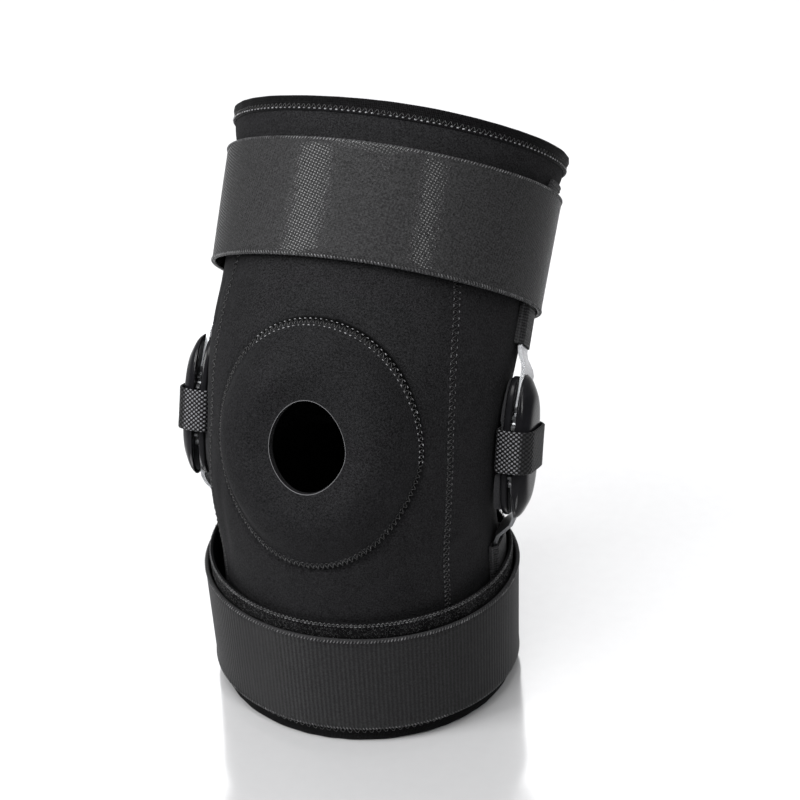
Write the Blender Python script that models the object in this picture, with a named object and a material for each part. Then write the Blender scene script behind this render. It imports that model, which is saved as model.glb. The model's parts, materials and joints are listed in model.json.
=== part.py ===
"""Hinged knee brace: an open-patella neoprene sleeve with a geared twin-pivot hinge on each side.

The brace is designed straight, in millimetres: the leg's axis is +Z, the front is -Y, and the
bottom rim stands on z = 0. It is then bent at the knee into its resting pose. Rigid pieces are
parented to the empty of the body that carries them, and the fabric round the knee is bent point
by point with the same rule.
"""
import math

import bmesh
import bpy
from mathutils import Vector

MM = 0.001

# ---- resting pose ------------------------------------------------------------------------------
HALF_FLEX = math.radians(20.0)      # turn at each of the two pivots; the knee rests at twice this
FRAME_Y = -40.2                     # moves the calf forward so that the whole brace is centred

# ---- lengths along the straight leg ------------------------------------------------------------
SLEEVE_TOP = 294.0
BINDING_WIDTH = 8.0
KNEE_Z = 142.0                      # plane halfway between the pivots
PIVOT_OFFSET = 11.5                 # each pivot's distance from that plane
PIVOT_Y = 6.0                       # pivots sit behind the leg's axis, as the real knee's do
CALF_CUFF_TOP = 75.0
THIGH_CUFF_BOTTOM = 212.5
LOWER_STRAP = (8.5, 66.5)
UPPER_STRAP = (212.5, 272.5)
LOOP_BAND = (8.6, 75.0)
LOWER_POCKET = (12.0, 21.0, 87.0)   # flat end, where it has its full thickness, open end
UPPER_POCKET = (278.0, 258.0, 193.0)

# ---- fabric ------------------------------------------------------------------------------------
GAP = 0.3
NEOPRENE = 4.0
WEBBING = 2.0
BAND_THICK = 1.5
BINDING_PROUD = 1.4
SLEEVE_EDGE = 3.0                   # how far the sleeve's raw edge stops short of the rim
SEGMENTS = 48                       # facets round the leg

# Outside of the sleeve: height, half-width across the leg, half-depth front to back.
SLEEVE_STATIONS = (
    (0.0, 75.9, 71.0),
    (10.0, 72.3, 69.7),
    (88.0, 72.3, 70.3),
    (142.0, 76.3, 73.2),
    (196.0, 78.7, 77.3),
    (258.0, 78.9, 78.5),
    (288.0, 86.0, 80.4),
    (294.0, 86.8, 80.7),
)
# Outside of each strap and of the band at its lower and upper edge: half-width, half-depth.
LOWER_STRAP_RIM = ((81.2, 74.6), (83.2, 75.8))
UPPER_STRAP_RIM = ((85.8, 83.0), (87.4, 84.4))
LOOP_BAND_RIM = ((78.8, 72.2), (79.6, 73.6))

# ---- knee pad ----------------------------------------------------------------------------------
PAD_Z = 145.2                       # centre of its hole
PAD_HALF = (58.5, 45.0)             # round the leg, along the leg
PAD_HOLE_HALF = (19.2, 18.5)
PAD_THICK = 9.0
PAD_RIM = 2.6
PAD_STAND_OFF = 1.2                 # its flat facets stay clear of the sleeve's curve

# ---- hinge, from the leg outwards (distance from the middle of the brace) ----------------------
PLATE_HALF = (13.0, 36.0)           # half-width, half-height of the oval plates
CONDYLE_HALF = (11.8, 34.0)
CONDYLE_OUT = 80.0
CONDYLE_EDGE = 0.7                  # the pad's thickness at its front edge
CONDYLE_WEDGE = 0.09                # and how fast it thickens towards the back of the leg
INNER_PLATE = (80.3, 83.9)
BAR_HEAD = (84.2, 86.2)
OUTER_PLATE = (86.5, 87.9)
COVER_SKIRT = 86.7
COVER_CROWN = 94.0
COVER_WALL = 1.3
BAR_HALF_WIDTH = 8.0
GEAR_PITCH = PIVOT_OFFSET
GEAR_TEETH = 13
GEAR_DEPTH = 1.2
GEAR_CLEAR = 0.3
PIN_RADIUS = 3.0
PIN_HEAD = 4.6
LOWER_BAR = (22.0, 88.5, 104.0)     # end of the blade, then the stretch where it is set inwards
UPPER_BAR = (256.0, 191.0, 180.0)
POCKET_HALF_WIDTH = 12.0
POCKET_THICK = 4.2
POCKET_HEM = 1.6                    # thickness at the flat end
POCKET_WALL = 0.5
LOOP_HALF_HEIGHT = 11.0
LOOP_THICK = 1.2

# ---- strap ends --------------------------------------------------------------------------------
TAB_THICK = 1.6
TAB_ARC = (math.radians(150.0), math.radians(179.0))
TAB_HALF_HEIGHT = 24.0
TAB_NOSE = 0.35                     # share of the length over which the free end is rounded
TAB_NARROWING = 0.9

COLOURS = {
    "neoprene": ((0.012, 0.012, 0.013), 0.85, 0.0),
    "webbing": ((0.060, 0.060, 0.062), 0.75, 0.0),
    "pile": ((0.010, 0.010, 0.011), 0.95, 0.0),
    "tape": ((0.035, 0.035, 0.037), 0.70, 0.0),
    "steel": ((0.550, 0.560, 0.580), 0.28, 1.0),
    "gloss": ((0.010, 0.010, 0.012), 0.18, 0.0),
    "foam": ((0.030, 0.030, 0.032), 0.90, 0.0),
}


# ------------------------------------------------------------------------------------------------
# Shape rules of the straight brace
# ------------------------------------------------------------------------------------------------
def smooth(t):
    t = min(max(t, 0.0), 1.0)
    return t * t * (3.0 - 2.0 * t)


def sleeve_half(z):
    """Half-width and half-depth of the sleeve's outside at height z."""
    z = min(max(z, 0.0), SLEEVE_TOP)
    for low, high in zip(SLEEVE_STATIONS, SLEEVE_STATIONS[1:]):
        if z <= high[0]:
            t = smooth((z - low[0]) / (high[0] - low[0]))
            return tuple(a + (b - a) * t for a, b in zip(low[1:], high[1:]))
    return SLEEVE_STATIONS[-1][1:]


def on_ellipse(angle, half):
    """Point at an angle that is 0 at the front, and a quarter turn at +X."""
    return half[0] * math.sin(angle), -half[1] * math.cos(angle)


def grown(half, by):
    return half[0] + by, half[1] + by


def turned(y, z, pivot_z, angle):
    """Turn a point backwards about the cross axis at PIVOT_Y, pivot_z."""
    dy = y - PIVOT_Y
    dz = z - pivot_z
    c = math.cos(angle)
    s = math.sin(angle)
    return PIVOT_Y + dy * c + dz * s, pivot_z - dy * s + dz * c


def bent(point):
    """Where a point of the fabric goes when the knee rests in its bent pose."""
    x, y, z = point
    below = smooth((z - CALF_CUFF_TOP) / (KNEE_Z - CALF_CUFF_TOP))
    above = smooth((z - KNEE_Z) / (THIGH_CUFF_BOTTOM - KNEE_Z))
    y, z = turned(y, z, KNEE_Z + PIVOT_OFFSET, HALF_FLEX * above)
    y, z = turned(y, z, KNEE_Z - PIVOT_OFFSET, HALF_FLEX * below)
    return x, y, z


# ------------------------------------------------------------------------------------------------
# Scene, bodies and materials
# ------------------------------------------------------------------------------------------------
def clear_scene():
    for obj in list(bpy.data.objects):
        bpy.data.objects.remove(obj, do_unlink=True)


def make_materials():
    made = {}
    for name, (colour, roughness, metallic) in COLOURS.items():
        material = bpy.data.materials.new(name)
        material.use_nodes = True
        shader = material.node_tree.nodes["Principled BSDF"]
        shader.inputs["Base Color"].default_value = (*colour, 1.0)
        shader.inputs["Roughness"].default_value = roughness
        shader.inputs["Metallic"].default_value = metallic
        made[name] = material
    return made


def make_empty(name, parent, place, turn):
    empty = bpy.data.objects.new(name, None)
    empty.parent = parent
    empty.location = [value * MM for value in place]
    empty.rotation_euler = (turn, 0.0, 0.0)
    bpy.context.scene.collection.objects.link(empty)
    return empty


def make_bodies():
    """Empties on the pivots; each entry is (empty, the straight brace's point that it sits on)."""
    low = (0.0, PIVOT_Y, KNEE_Z - PIVOT_OFFSET)
    high = (0.0, PIVOT_Y, KNEE_Z + PIVOT_OFFSET)
    brace = make_empty("brace_frame", None, (0.0, FRAME_Y, 0.0), 0.0)
    left = make_empty("left_hinge_frame", brace, low, -HALF_FLEX)
    right = make_empty("right_hinge_frame", brace, low, -HALF_FLEX)
    thigh = make_empty("thigh_frame", left, (0.0, 0.0, 2.0 * PIVOT_OFFSET), -HALF_FLEX)
    return {
        "shin": (brace, (0.0, 0.0, 0.0)),
        "left_hinge": (left, low),
        "right_hinge": (right, low),
        "thigh": (thigh, high),
    }


class Builder:
    """Turns point lists of the straight brace into named objects on their bodies."""

    def __init__(self):
        self.materials = make_materials()
        self.bodies = make_bodies()

    def add(self, name, body, material, bm, sharp=35.0, bend=False, flip_x=False):
        """Finish a mesh: mirror it to the left side, bend it or seat it on its body, shade it."""
        empty, base = self.bodies[body]
        for vert in bm.verts:
            point = tuple(vert.co)
            if flip_x:
                point = (-point[0], point[1], point[2])
            if bend:
                point = bent(point)
            vert.co = [(value - start) * MM for value, start in zip(point, base)]
        bmesh.ops.recalc_face_normals(bm, faces=bm.faces[:])
        if bm.calc_volume(signed=True) < 0.0:
            bmesh.ops.reverse_faces(bm, faces=bm.faces[:])
        mesh = bpy.data.meshes.new(name)
        bm.to_mesh(mesh)
        bm.free()
        mesh.shade_smooth()
        mesh.set_sharp_from_angle(angle=math.radians(sharp))
        mesh.materials.append(self.materials[material])
        obj = bpy.data.objects.new(name, mesh)
        obj.parent = empty
        bpy.context.scene.collection.objects.link(obj)
        return obj


# ------------------------------------------------------------------------------------------------
# Mesh helpers
# ------------------------------------------------------------------------------------------------
def skin(bm, loops, closed_path):
    """Join matching loops of points with quads; closed_path joins the last loop to the first."""
    rows = [[bm.verts.new(point) for point in loop] for loop in loops]
    count = len(rows[0])
    pairs = list(zip(rows, rows[1:]))
    if closed_path:
        pairs.append((rows[-1], rows[0]))
    for low, high in pairs:
        for i in range(count):
            j = (i + 1) % count
            bm.faces.new((low[i], low[j], high[j], high[i]))
    return rows


def ring_of(path, segments=SEGMENTS):
    """A closed ring round the leg; path is its section, as (z, (half-width, half-depth))."""
    bm = bmesh.new()
    angles = [2.0 * math.pi * i / segments for i in range(segments)]
    loops = [[(*on_ellipse(angle, half), z) for angle in angles] for z, half in path]
    skin(bm, loops, closed_path=True)
    return bm


def tube_wall(levels, outer, inner):
    """A band round the leg: outer and inner give (half-width, half-depth) at each height."""
    return ring_of([(z, outer(z)) for z in levels] + [(z, inner(z)) for z in reversed(levels)])


def spread(low, high, count):
    return [low + (high - low) * i / (count - 1) for i in range(count)]


def flat_plate(outline, holes, x_low, x_high):
    """A plate in the YZ plane with round or shaped holes, x_low to x_high thick."""
    bm = bmesh.new()
    edges = []
    for loop in [outline] + holes:
        verts = [bm.verts.new((x_low, y, z)) for y, z in loop]
        for i, vert in enumerate(verts):
            edges.append(bm.edges.new((vert, verts[(i + 1) % len(verts)])))
    filled = bmesh.ops.triangle_fill(bm, use_beauty=True, edges=edges)
    faces = [item for item in filled["geom"] if isinstance(item, bmesh.types.BMFace)]
    grown_part = bmesh.ops.extrude_face_region(bm, geom=faces)
    for item in grown_part["geom"]:
        if isinstance(item, bmesh.types.BMVert):
            item.co.x = x_high
    return bm


def circle(centre_y, centre_z, radius, count=12):
    turns = [2.0 * math.pi * i / count for i in range(count)]
    return [(centre_y + radius * math.cos(t), centre_z + radius * math.sin(t)) for t in turns]


def oval(half, centre_z=KNEE_Z, count=32, power=2.4):
    """A rounded oval about the hinge's middle, fuller than an ellipse."""
    points = []
    for i in range(count):
        t = 2.0 * math.pi * i / count
        c = math.cos(t)
        s = math.sin(t)
        y = PIVOT_Y + half[0] * math.copysign(abs(c) ** (2.0 / power), c)
        z = centre_z + half[1] * math.copysign(abs(s) ** (2.0 / power), s)
        points.append((y, z))
    return points


def turned_piece(profile, centre_y, centre_z, count=12):
    """A solid of revolution about an axis along X; profile is (x, radius), ends on the axis."""
    bm = bmesh.new()
    start = bm.verts.new((profile[0][0], centre_y, centre_z))
    finish = bm.verts.new((profile[-1][0], centre_y, centre_z))
    rings = []
    for x, radius in profile[1:-1]:
        ring = circle(centre_y, centre_z, radius, count)
        rings.append([(x, y, z) for y, z in ring])
    rows = skin(bm, rings, closed_path=False)
    for i in range(count):
        j = (i + 1) % count
        bm.faces.new((start, rows[0][j], rows[0][i]))
        bm.faces.new((finish, rows[-1][i], rows[-1][j]))
    return bm


# ------------------------------------------------------------------------------------------------
# Sleeve, bindings, knee pad
# ------------------------------------------------------------------------------------------------
def sleeve_inner(z):
    return grown(sleeve_half(z), -NEOPRENE)


def knee_patch(reach, base, height, rings=5, spokes=32):
    """A solid on the front of the sleeve, round PAD_Z.

    reach(t) gives how far out the ring t goes, as half sizes round and along the leg; base and
    height give how far each ring's under and upper side stand off the sleeve.
    """
    bm = bmesh.new()
    steps = spread(0.0, 1.0, rings)
    path = [(t, height(t)) for t in steps] + [(t, base) for t in reversed(steps)]
    loops = []
    for t, off in path:
        half = reach(t)
        loop = []
        for i in range(spokes):
            turn = 2.0 * math.pi * i / spokes
            z = PAD_Z + half[1] * math.cos(turn)
            size = sleeve_half(z)
            angle = half[0] * math.sin(turn) / (0.5 * (size[0] + size[1]))
            loop.append((*on_ellipse(angle, grown(size, off)), z))
        loops.append(loop)
    return bm, loops


def between(a, b, t):
    return a[0] + (b[0] - a[0]) * t, a[1] + (b[1] - a[1]) * t


def make_knee_pad(builder):
    def reach(t):
        return between(PAD_HOLE_HALF, PAD_HALF, t)

    def height(t):
        return PAD_RIM + (PAD_THICK - PAD_RIM) * math.sin(math.pi * (0.12 + 0.88 * t)) ** 0.7

    bm, loops = knee_patch(reach, PAD_STAND_OFF, height)
    skin(bm, loops, closed_path=True)
    builder.add("patella_pad", "shin", "neoprene", bm, sharp=60.0, bend=True)


def knee_hole_cutter(builder):
    """A plug through the front of the sleeve, a little wider than the pad's own hole."""
    hole = grown(PAD_HOLE_HALF, 1.0)

    def reach(t):
        return between((0.5, 0.5), hole, t)

    bm, loops = knee_patch(reach, -3.0 * NEOPRENE, lambda t: 3.0 * NEOPRENE, rings=2)
    rows = skin(bm, loops, closed_path=False)
    bm.faces.new(rows[0])
    bm.faces.new(rows[-1])
    cutter = builder.add("knee_hole_cutter", "shin", "neoprene", bm, bend=True)
    cutter.hide_render = True
    cutter.display_type = "WIRE"
    return cutter


def cut(obj, cutter):
    modifier = obj.modifiers.new("hole", "BOOLEAN")
    modifier.operation = "DIFFERENCE"
    modifier.solver = "EXACT"
    modifier.object = cutter


def make_sleeve(builder):
    calf_levels = [SLEEVE_EDGE, BINDING_WIDTH, 12.0, CALF_CUFF_TOP]
    bm = tube_wall(calf_levels, sleeve_half, sleeve_inner)
    builder.add("calf_sleeve", "shin", "neoprene", bm)

    thigh_levels = [THIGH_CUFF_BOTTOM] + spread(UPPER_POCKET[1], UPPER_POCKET[0], 3)
    thigh_levels += [SLEEVE_TOP - BINDING_WIDTH, SLEEVE_TOP - SLEEVE_EDGE]
    bm = tube_wall(thigh_levels, sleeve_half, sleeve_inner)
    builder.add("thigh_sleeve", "thigh", "neoprene", bm)

    cutter = knee_hole_cutter(builder)
    low_levels = spread(CALF_CUFF_TOP + GAP, KNEE_Z - GAP / 2.0, 6)
    bm = tube_wall(low_levels, sleeve_half, sleeve_inner)
    lower = builder.add("lower_knee_sleeve", "shin", "neoprene", bm, bend=True)
    cut(lower, cutter)

    high_levels = spread(KNEE_Z + GAP / 2.0, THIGH_CUFF_BOTTOM - GAP, 6)
    bm = tube_wall(high_levels, sleeve_half, sleeve_inner)
    upper = builder.add("upper_knee_sleeve", "shin", "neoprene", bm, bend=True)
    cut(upper, cutter)


def make_binding(builder, name, body, rim_z, into):
    """Tape folded over a rim of the sleeve; into is +1 where the sleeve lies above the rim."""
    edge_z = rim_z + into * (SLEEVE_EDGE - GAP)
    far_z = rim_z + into * BINDING_WIDTH
    lip = 0.4 * BINDING_PROUD
    path = [
        (far_z, grown(sleeve_half(far_z), GAP)),
        (far_z, grown(sleeve_half(far_z), BINDING_PROUD)),
        (rim_z + into * lip, grown(sleeve_half(rim_z), BINDING_PROUD)),
        (rim_z, grown(sleeve_half(rim_z), BINDING_PROUD - lip)),
        (rim_z, grown(sleeve_inner(rim_z), lip - BINDING_PROUD)),
        (rim_z + into * lip, grown(sleeve_inner(rim_z), -BINDING_PROUD)),
        (far_z, grown(sleeve_inner(far_z), -BINDING_PROUD)),
        (far_z, grown(sleeve_inner(far_z), -GAP)),
        (edge_z, grown(sleeve_inner(edge_z), -GAP)),
        (edge_z, grown(sleeve_half(edge_z), GAP)),
    ]
    builder.add(name, body, "tape", ring_of(path))


# ------------------------------------------------------------------------------------------------
# Straps and the band that they fasten to
# ------------------------------------------------------------------------------------------------
def strap_half(strap, rims, z):
    t = (z - strap[0]) / (strap[1] - strap[0])
    return between(rims[0], rims[1], t)


def ribbon(centre_line, outward, thick, half_height):
    """A strip standing along the leg: a path of (x, y, z), and each point's outward direction."""
    bm = bmesh.new()
    loops = []
    for point, normal, height in zip(centre_line, outward, half_height):
        near = point
        far = (point[0] + normal[0] * thick, point[1] + normal[1] * thick, point[2])
        loops.append([
            (near[0], near[1], near[2] - height),
            (near[0], near[1], near[2] + height),
            (far[0], far[1], far[2] + height),
            (far[0], far[1], far[2] - height),
        ])
    rows = skin(bm, loops, closed_path=False)
    bm.faces.new(rows[0])
    bm.faces.new(rows[-1])
    return bm


def ellipse_normal(angle, half):
    return Vector((math.sin(angle) / half[0], -math.cos(angle) / half[1])).normalized()


def make_tab(builder, name, body, parent, strap, rims, hand):
    """The hook-faced end of a strap, which peels off about its inner end; hand is its side."""
    middle = 0.5 * (strap[0] + strap[1])
    half = grown(rims[1], GAP)
    pivot = (*on_ellipse(hand * TAB_ARC[0], half), middle)
    empty, base = builder.bodies[parent]
    place = [value - start for value, start in zip(pivot, base)]
    builder.bodies[body] = (make_empty(body + "_frame", empty, place, 0.0), pivot)
    count = 17
    angles = spread(hand * TAB_ARC[0], hand * TAB_ARC[1], count)
    line = [(*on_ellipse(angle, half), middle) for angle in angles]
    normals = [ellipse_normal(angle, half) for angle in angles]
    heights = []
    for along in spread(0.0, 1.0, count):
        past = max(0.0, (along - 1.0 + TAB_NOSE) / TAB_NOSE)
        heights.append(TAB_HALF_HEIGHT * math.sqrt(1.0 - TAB_NARROWING * past * past))
    builder.add(name, body, "webbing", ribbon(line, normals, TAB_THICK, heights))


def make_straps(builder):
    for name, body, strap, rims, hand in (
        ("upper_strap", "thigh", UPPER_STRAP, UPPER_STRAP_RIM, 1.0),
        ("lower_strap", "shin", LOWER_STRAP, LOWER_STRAP_RIM, -1.0),
    ):
        def outer(z, strap=strap, rims=rims):
            return strap_half(strap, rims, z)

        def inner(z, outer=outer):
            return grown(outer(z), -WEBBING)

        builder.add(name, body, "webbing", tube_wall(list(strap), outer, inner))
        make_tab(builder, name + "_end", name + "_end", body, strap, rims, hand)

    def band_outer(z):
        return strap_half(LOOP_BAND, LOOP_BAND_RIM, z)

    def band_inner(z):
        return grown(band_outer(z), -BAND_THICK)

    band = tube_wall(list(LOOP_BAND), band_outer, band_inner)
    builder.add("calf_loop_band", "shin", "pile", band)


# ------------------------------------------------------------------------------------------------
# Hinges; every piece is drawn for the +X side
# ------------------------------------------------------------------------------------------------
def gear_radius(angle, tooth_up):
    wave = math.cos(GEAR_TEETH * angle)
    return GEAR_PITCH - GEAR_CLEAR + GEAR_DEPTH * (wave if tooth_up else -wave)


def bar_outline(pivot_z, end_z, tooth_up):
    """A bar's outline: geared head round its pivot, straight blade, round end."""
    up = 1.0 if end_z < pivot_z else -1.0
    root = GEAR_PITCH - GEAR_CLEAR - GEAR_DEPTH
    last = math.pi - math.asin(BAR_HALF_WIDTH / root)
    outline = []
    for angle in spread(-last, last, 61):
        radius = gear_radius(angle, tooth_up)
        y = PIVOT_Y + radius * math.sin(angle)
        outline.append((y, pivot_z + up * radius * math.cos(angle)))
    for turn in spread(0.0, math.pi, 9):
        y = PIVOT_Y + BAR_HALF_WIDTH * math.cos(turn)
        z = end_z + up * BAR_HALF_WIDTH * (1.0 - math.sin(turn))
        outline.append((y, z))
    return outline


def make_bar(builder, side, which, body, flip_x):
    """A bar; beyond its head the blade is set in and twisted so that it lies along the leg."""
    lower = which == "lower"
    pivot_z = KNEE_Z - PIVOT_OFFSET if lower else KNEE_Z + PIVOT_OFFSET
    end_z, flat_z, head_z = LOWER_BAR if lower else UPPER_BAR
    outline = bar_outline(pivot_z, end_z, lower)
    hole = circle(PIVOT_Y, pivot_z, PIN_RADIUS + GAP)
    bm = flat_plate(outline, [hole], *BAR_HEAD)
    for z in spread(flat_z, head_z, 5):
        geom = bm.verts[:] + bm.edges[:] + bm.faces[:]
        bmesh.ops.bisect_plane(bm, geom=geom, plane_co=(0.0, 0.0, z), plane_no=(0.0, 0.0, 1.0))
    middle = 0.5 * (end_z + flat_z)
    half = sleeve_half(middle)
    seat = half[0] * math.sqrt(1.0 - (PIVOT_Y / half[1]) ** 2)
    sag = BAR_HALF_WIDTH ** 2 / (2.0 * half[0])
    shift = seat + GAP + 0.5 * (POCKET_THICK - sag) - 0.5 * (BAR_HEAD[0] + BAR_HEAD[1])
    twist = -(half[0] / half[1]) ** 2 * PIVOT_Y / seat
    for vert in bm.verts:
        share = smooth((vert.co.z - head_z) / (flat_z - head_z))
        vert.co.x += share * (shift + twist * (vert.co.y - PIVOT_Y))
    builder.add(f"{side}_{which}_bar", body, "steel", bm, flip_x=flip_x)


def make_pocket(builder, side, which, body, reach, flip_x):
    """A flat sock of webbing on the sleeve, open towards the hinge, which holds a bar's blade."""
    shut_z, full_z, open_z = reach
    middle = sleeve_half(0.5 * (open_z + full_z))
    spare = PIVOT_Y / middle[1]
    arc = POCKET_HALF_WIDTH / middle[0]
    centre = 0.5 * math.pi + math.asin(spare)

    def section(z, inset):
        half = sleeve_half(z)
        full = min((z - shut_z) / (full_z - shut_z), 1.0)
        thick = POCKET_HEM + (POCKET_THICK - POCKET_HEM) * full
        near = grown(half, GAP + inset)
        far = grown(half, GAP + thick - inset)
        reach_angle = arc - inset / middle[0]
        angles = spread(centre - reach_angle, centre + reach_angle, 6)
        loop = [(*on_ellipse(angle, near), z) for angle in angles]
        loop += [(*on_ellipse(angle, far), z) for angle in reversed(angles)]
        return loop

    bm = bmesh.new()
    outside = [section(z, 0.0) for z in spread(shut_z, full_z, 3) + spread(full_z, open_z, 3)[1:]]
    inside = [section(z, POCKET_WALL) for z in spread(open_z, full_z, 3)]
    rows = skin(bm, outside + inside, closed_path=False)
    bm.faces.new(rows[0])
    bm.faces.new(rows[-1])
    builder.add(f"{side}_{which}_pocket", body, "tape", bm, flip_x=flip_x)


def make_plates(builder, side, body, flip_x):
    pins = [KNEE_Z - PIVOT_OFFSET, KNEE_Z + PIVOT_OFFSET]
    shaft_holes = [circle(PIVOT_Y, z, PIN_RADIUS + GAP) for z in pins]
    head_holes = [circle(PIVOT_Y, z, PIN_HEAD + 2.0 * GAP) for z in pins]

    bm = flat_plate(oval(PLATE_HALF), shaft_holes, *INNER_PLATE)
    builder.add(f"{side}_inner_plate", body, "gloss", bm, flip_x=flip_x)
    bm = flat_plate(oval(grown(PLATE_HALF, -0.8)), shaft_holes, *OUTER_PLATE)
    builder.add(f"{side}_outer_plate", body, "steel", bm, flip_x=flip_x)

    bm = flat_plate(oval(CONDYLE_HALF), head_holes, CONDYLE_OUT - CONDYLE_EDGE, CONDYLE_OUT)
    front = PIVOT_Y - CONDYLE_HALF[0]
    for vert in bm.verts:
        if vert.co.x < CONDYLE_OUT:
            vert.co.x -= CONDYLE_WEDGE * (vert.co.y - front)
    builder.add(f"{side}_condyle_pad", body, "foam", bm, flip_x=flip_x)


def make_pins(builder, side, body, flip_x):
    """Rivets: an inner head in the pad's recess, a shaft, and a set head under the cover."""
    for which, z in (("lower", KNEE_Z - PIVOT_OFFSET), ("upper", KNEE_Z + PIVOT_OFFSET)):
        profile = [
            (CONDYLE_OUT - 0.9, 0.0),
            (CONDYLE_OUT - 0.9, PIN_HEAD - 0.5),
            (CONDYLE_OUT - 0.4, PIN_HEAD),
            (CONDYLE_OUT, PIN_HEAD),
            (CONDYLE_OUT, PIN_RADIUS),
            (OUTER_PLATE[1] + GAP, PIN_RADIUS),
            (OUTER_PLATE[1] + GAP, PIN_HEAD),
            (OUTER_PLATE[1] + GAP + 0.8, PIN_HEAD),
            (OUTER_PLATE[1] + GAP + 1.5, PIN_HEAD - 1.2),
            (OUTER_PLATE[1] + GAP + 1.5, 0.0),
        ]
        bm = turned_piece(profile, PIVOT_Y, z)
        builder.add(f"{side}_{which}_rivet", body, "steel", bm, flip_x=flip_x)


def make_cover(builder, side, body, flip_x):
    """A domed shell that clips over the outer plate, hollow underneath for the rivet heads."""
    rise = COVER_CROWN - COVER_SKIRT
    outer = grown(PLATE_HALF, COVER_WALL)
    # share of the outline, share of the rise
    profile = [
        (1.0, 0.0), (0.985, 0.2), (0.94, 0.38), (0.87, 0.58), (0.79, 0.80), (0.68, 0.95), (0.4, 1.0),
    ]
    loops = []
    for size, up in profile:
        ring = oval((outer[0] * size, outer[1] * size))
        loops.append([(COVER_SKIRT + rise * up, y, z) for y, z in ring])
    inner = grown(PLATE_HALF, GAP)
    for size, up in reversed(profile[1:-1:2]):
        ring = oval((inner[0] * size, inner[1] * size))
        x = COVER_SKIRT + (rise - COVER_WALL) * up
        loops.append([(x, y, z) for y, z in ring])
    ring = oval(inner)
    loops.append([(COVER_SKIRT, y, z) for y, z in ring])
    count = len(profile)
    bm = bmesh.new()
    rows = skin(bm, loops[:count], closed_path=False)
    rows_in = skin(bm, loops[count:], closed_path=False)
    bm.faces.new(rows[-1])
    bm.faces.new(rows_in[0])
    size = len(rows[0])
    for i in range(size):
        j = (i + 1) % size
        bm.faces.new((rows[0][i], rows[0][j], rows_in[-1][j], rows_in[-1][i]))
    builder.add(f"{side}_hinge_cover", body, "gloss", bm, flip_x=flip_x)


def catmull(points, steps):
    """A smooth path through the points."""
    padded = [points[0]] + list(points) + [points[-1]]
    path = []
    for a, b, c, d in zip(padded, padded[1:], padded[2:], padded[3:]):
        for i in range(steps):
            t = i / steps
            path.append(tuple(
                0.5 * (2.0 * q + (r - p) * t + (2.0 * p - 5.0 * q + 4.0 * r - s) * t * t
                       + (3.0 * q - p - 3.0 * r + s) * t ** 3)
                for p, q, r, s in zip(a, b, c, d)
            ))
    path.append(tuple(points[-1]))
    return path


def make_keeper_loop(builder, side, body, flip_x):
    """Webbing that comes out from under the hinge, passes over its cover and is sewn down behind."""
    half = grown(sleeve_half(KNEE_Z), 2.0 * GAP)

    def seat(y):
        return half[0] * math.sqrt(1.0 - (y / half[1]) ** 2)

    front = PIVOT_Y - PLATE_HALF[0] - COVER_WALL
    back = PIVOT_Y + PLATE_HALF[0] + COVER_WALL
    crown = COVER_CROWN + 0.8
    points = [
        (78.4, front + 8.0),
        (78.4, front + 3.0),
        (78.7, front + 0.2),
        (80.8, front - 1.3),
        (84.5, front - 1.5),
        (88.5, front - 1.1),
        (crown - 2.4, front + 0.6),
        (crown - 0.6, front + 3.4),
        (crown, front + 7.0),
        (crown, back - 7.0),
        (crown - 0.6, back - 3.4),
        (crown - 3.6, back - 0.2),
        (86.0, back + 1.0),
        (seat(back + 2.2) + 3.0, back + 1.8),
        (seat(back + 4.2) + 0.4, back + 4.2),
        (seat(back + 8.0), back + 8.0),
        (seat(back + 13.0), back + 13.0),
    ]
    path = catmull(points, 2)
    line = [(x, y, KNEE_Z) for x, y in path]
    normals = []
    for i in range(len(path)):
        before = Vector(path[max(i - 1, 0)])
        after = Vector(path[min(i + 1, len(path) - 1)])
        along = (after - before).normalized()
        normals.append((along.y, -along.x))
    bm = ribbon(line, normals, LOOP_THICK, [LOOP_HALF_HEIGHT] * len(path))
    builder.add(f"{side}_keeper_loop", body, "tape", bm, sharp=50.0, flip_x=flip_x)


def make_hinge(builder, side):
    flip_x = side == "left"
    body = side + "_hinge"
    make_plates(builder, side, body, flip_x)
    make_pins(builder, side, body, flip_x)
    make_cover(builder, side, body, flip_x)
    make_keeper_loop(builder, side, body, flip_x)
    make_bar(builder, side, "lower", "shin", flip_x)
    make_bar(builder, side, "upper", "thigh", flip_x)
    make_pocket(builder, side, "lower", "shin", LOWER_POCKET, flip_x)
    make_pocket(builder, side, "upper", "thigh", UPPER_POCKET, flip_x)


def main():
    clear_scene()
    builder = Builder()
    make_sleeve(builder)
    make_binding(builder, "bottom_binding", "shin", 0.0, 1.0)
    make_binding(builder, "top_binding", "thigh", SLEEVE_TOP, -1.0)
    make_knee_pad(builder)
    make_straps(builder)
    for side in ("left", "right"):
        make_hinge(builder, side)


main()
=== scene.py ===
"""Looks of the hinged knee brace: knit-faced neoprene, ring pad, woven straps, geared side hinges.

Shapes are drawn on the straight brace, in millimetres (leg along +Z, front at -Y), and are then
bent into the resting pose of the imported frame.
"""
import json
import math

import bmesh
import bpy
import numpy as np
from mathutils import Matrix, Vector


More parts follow.
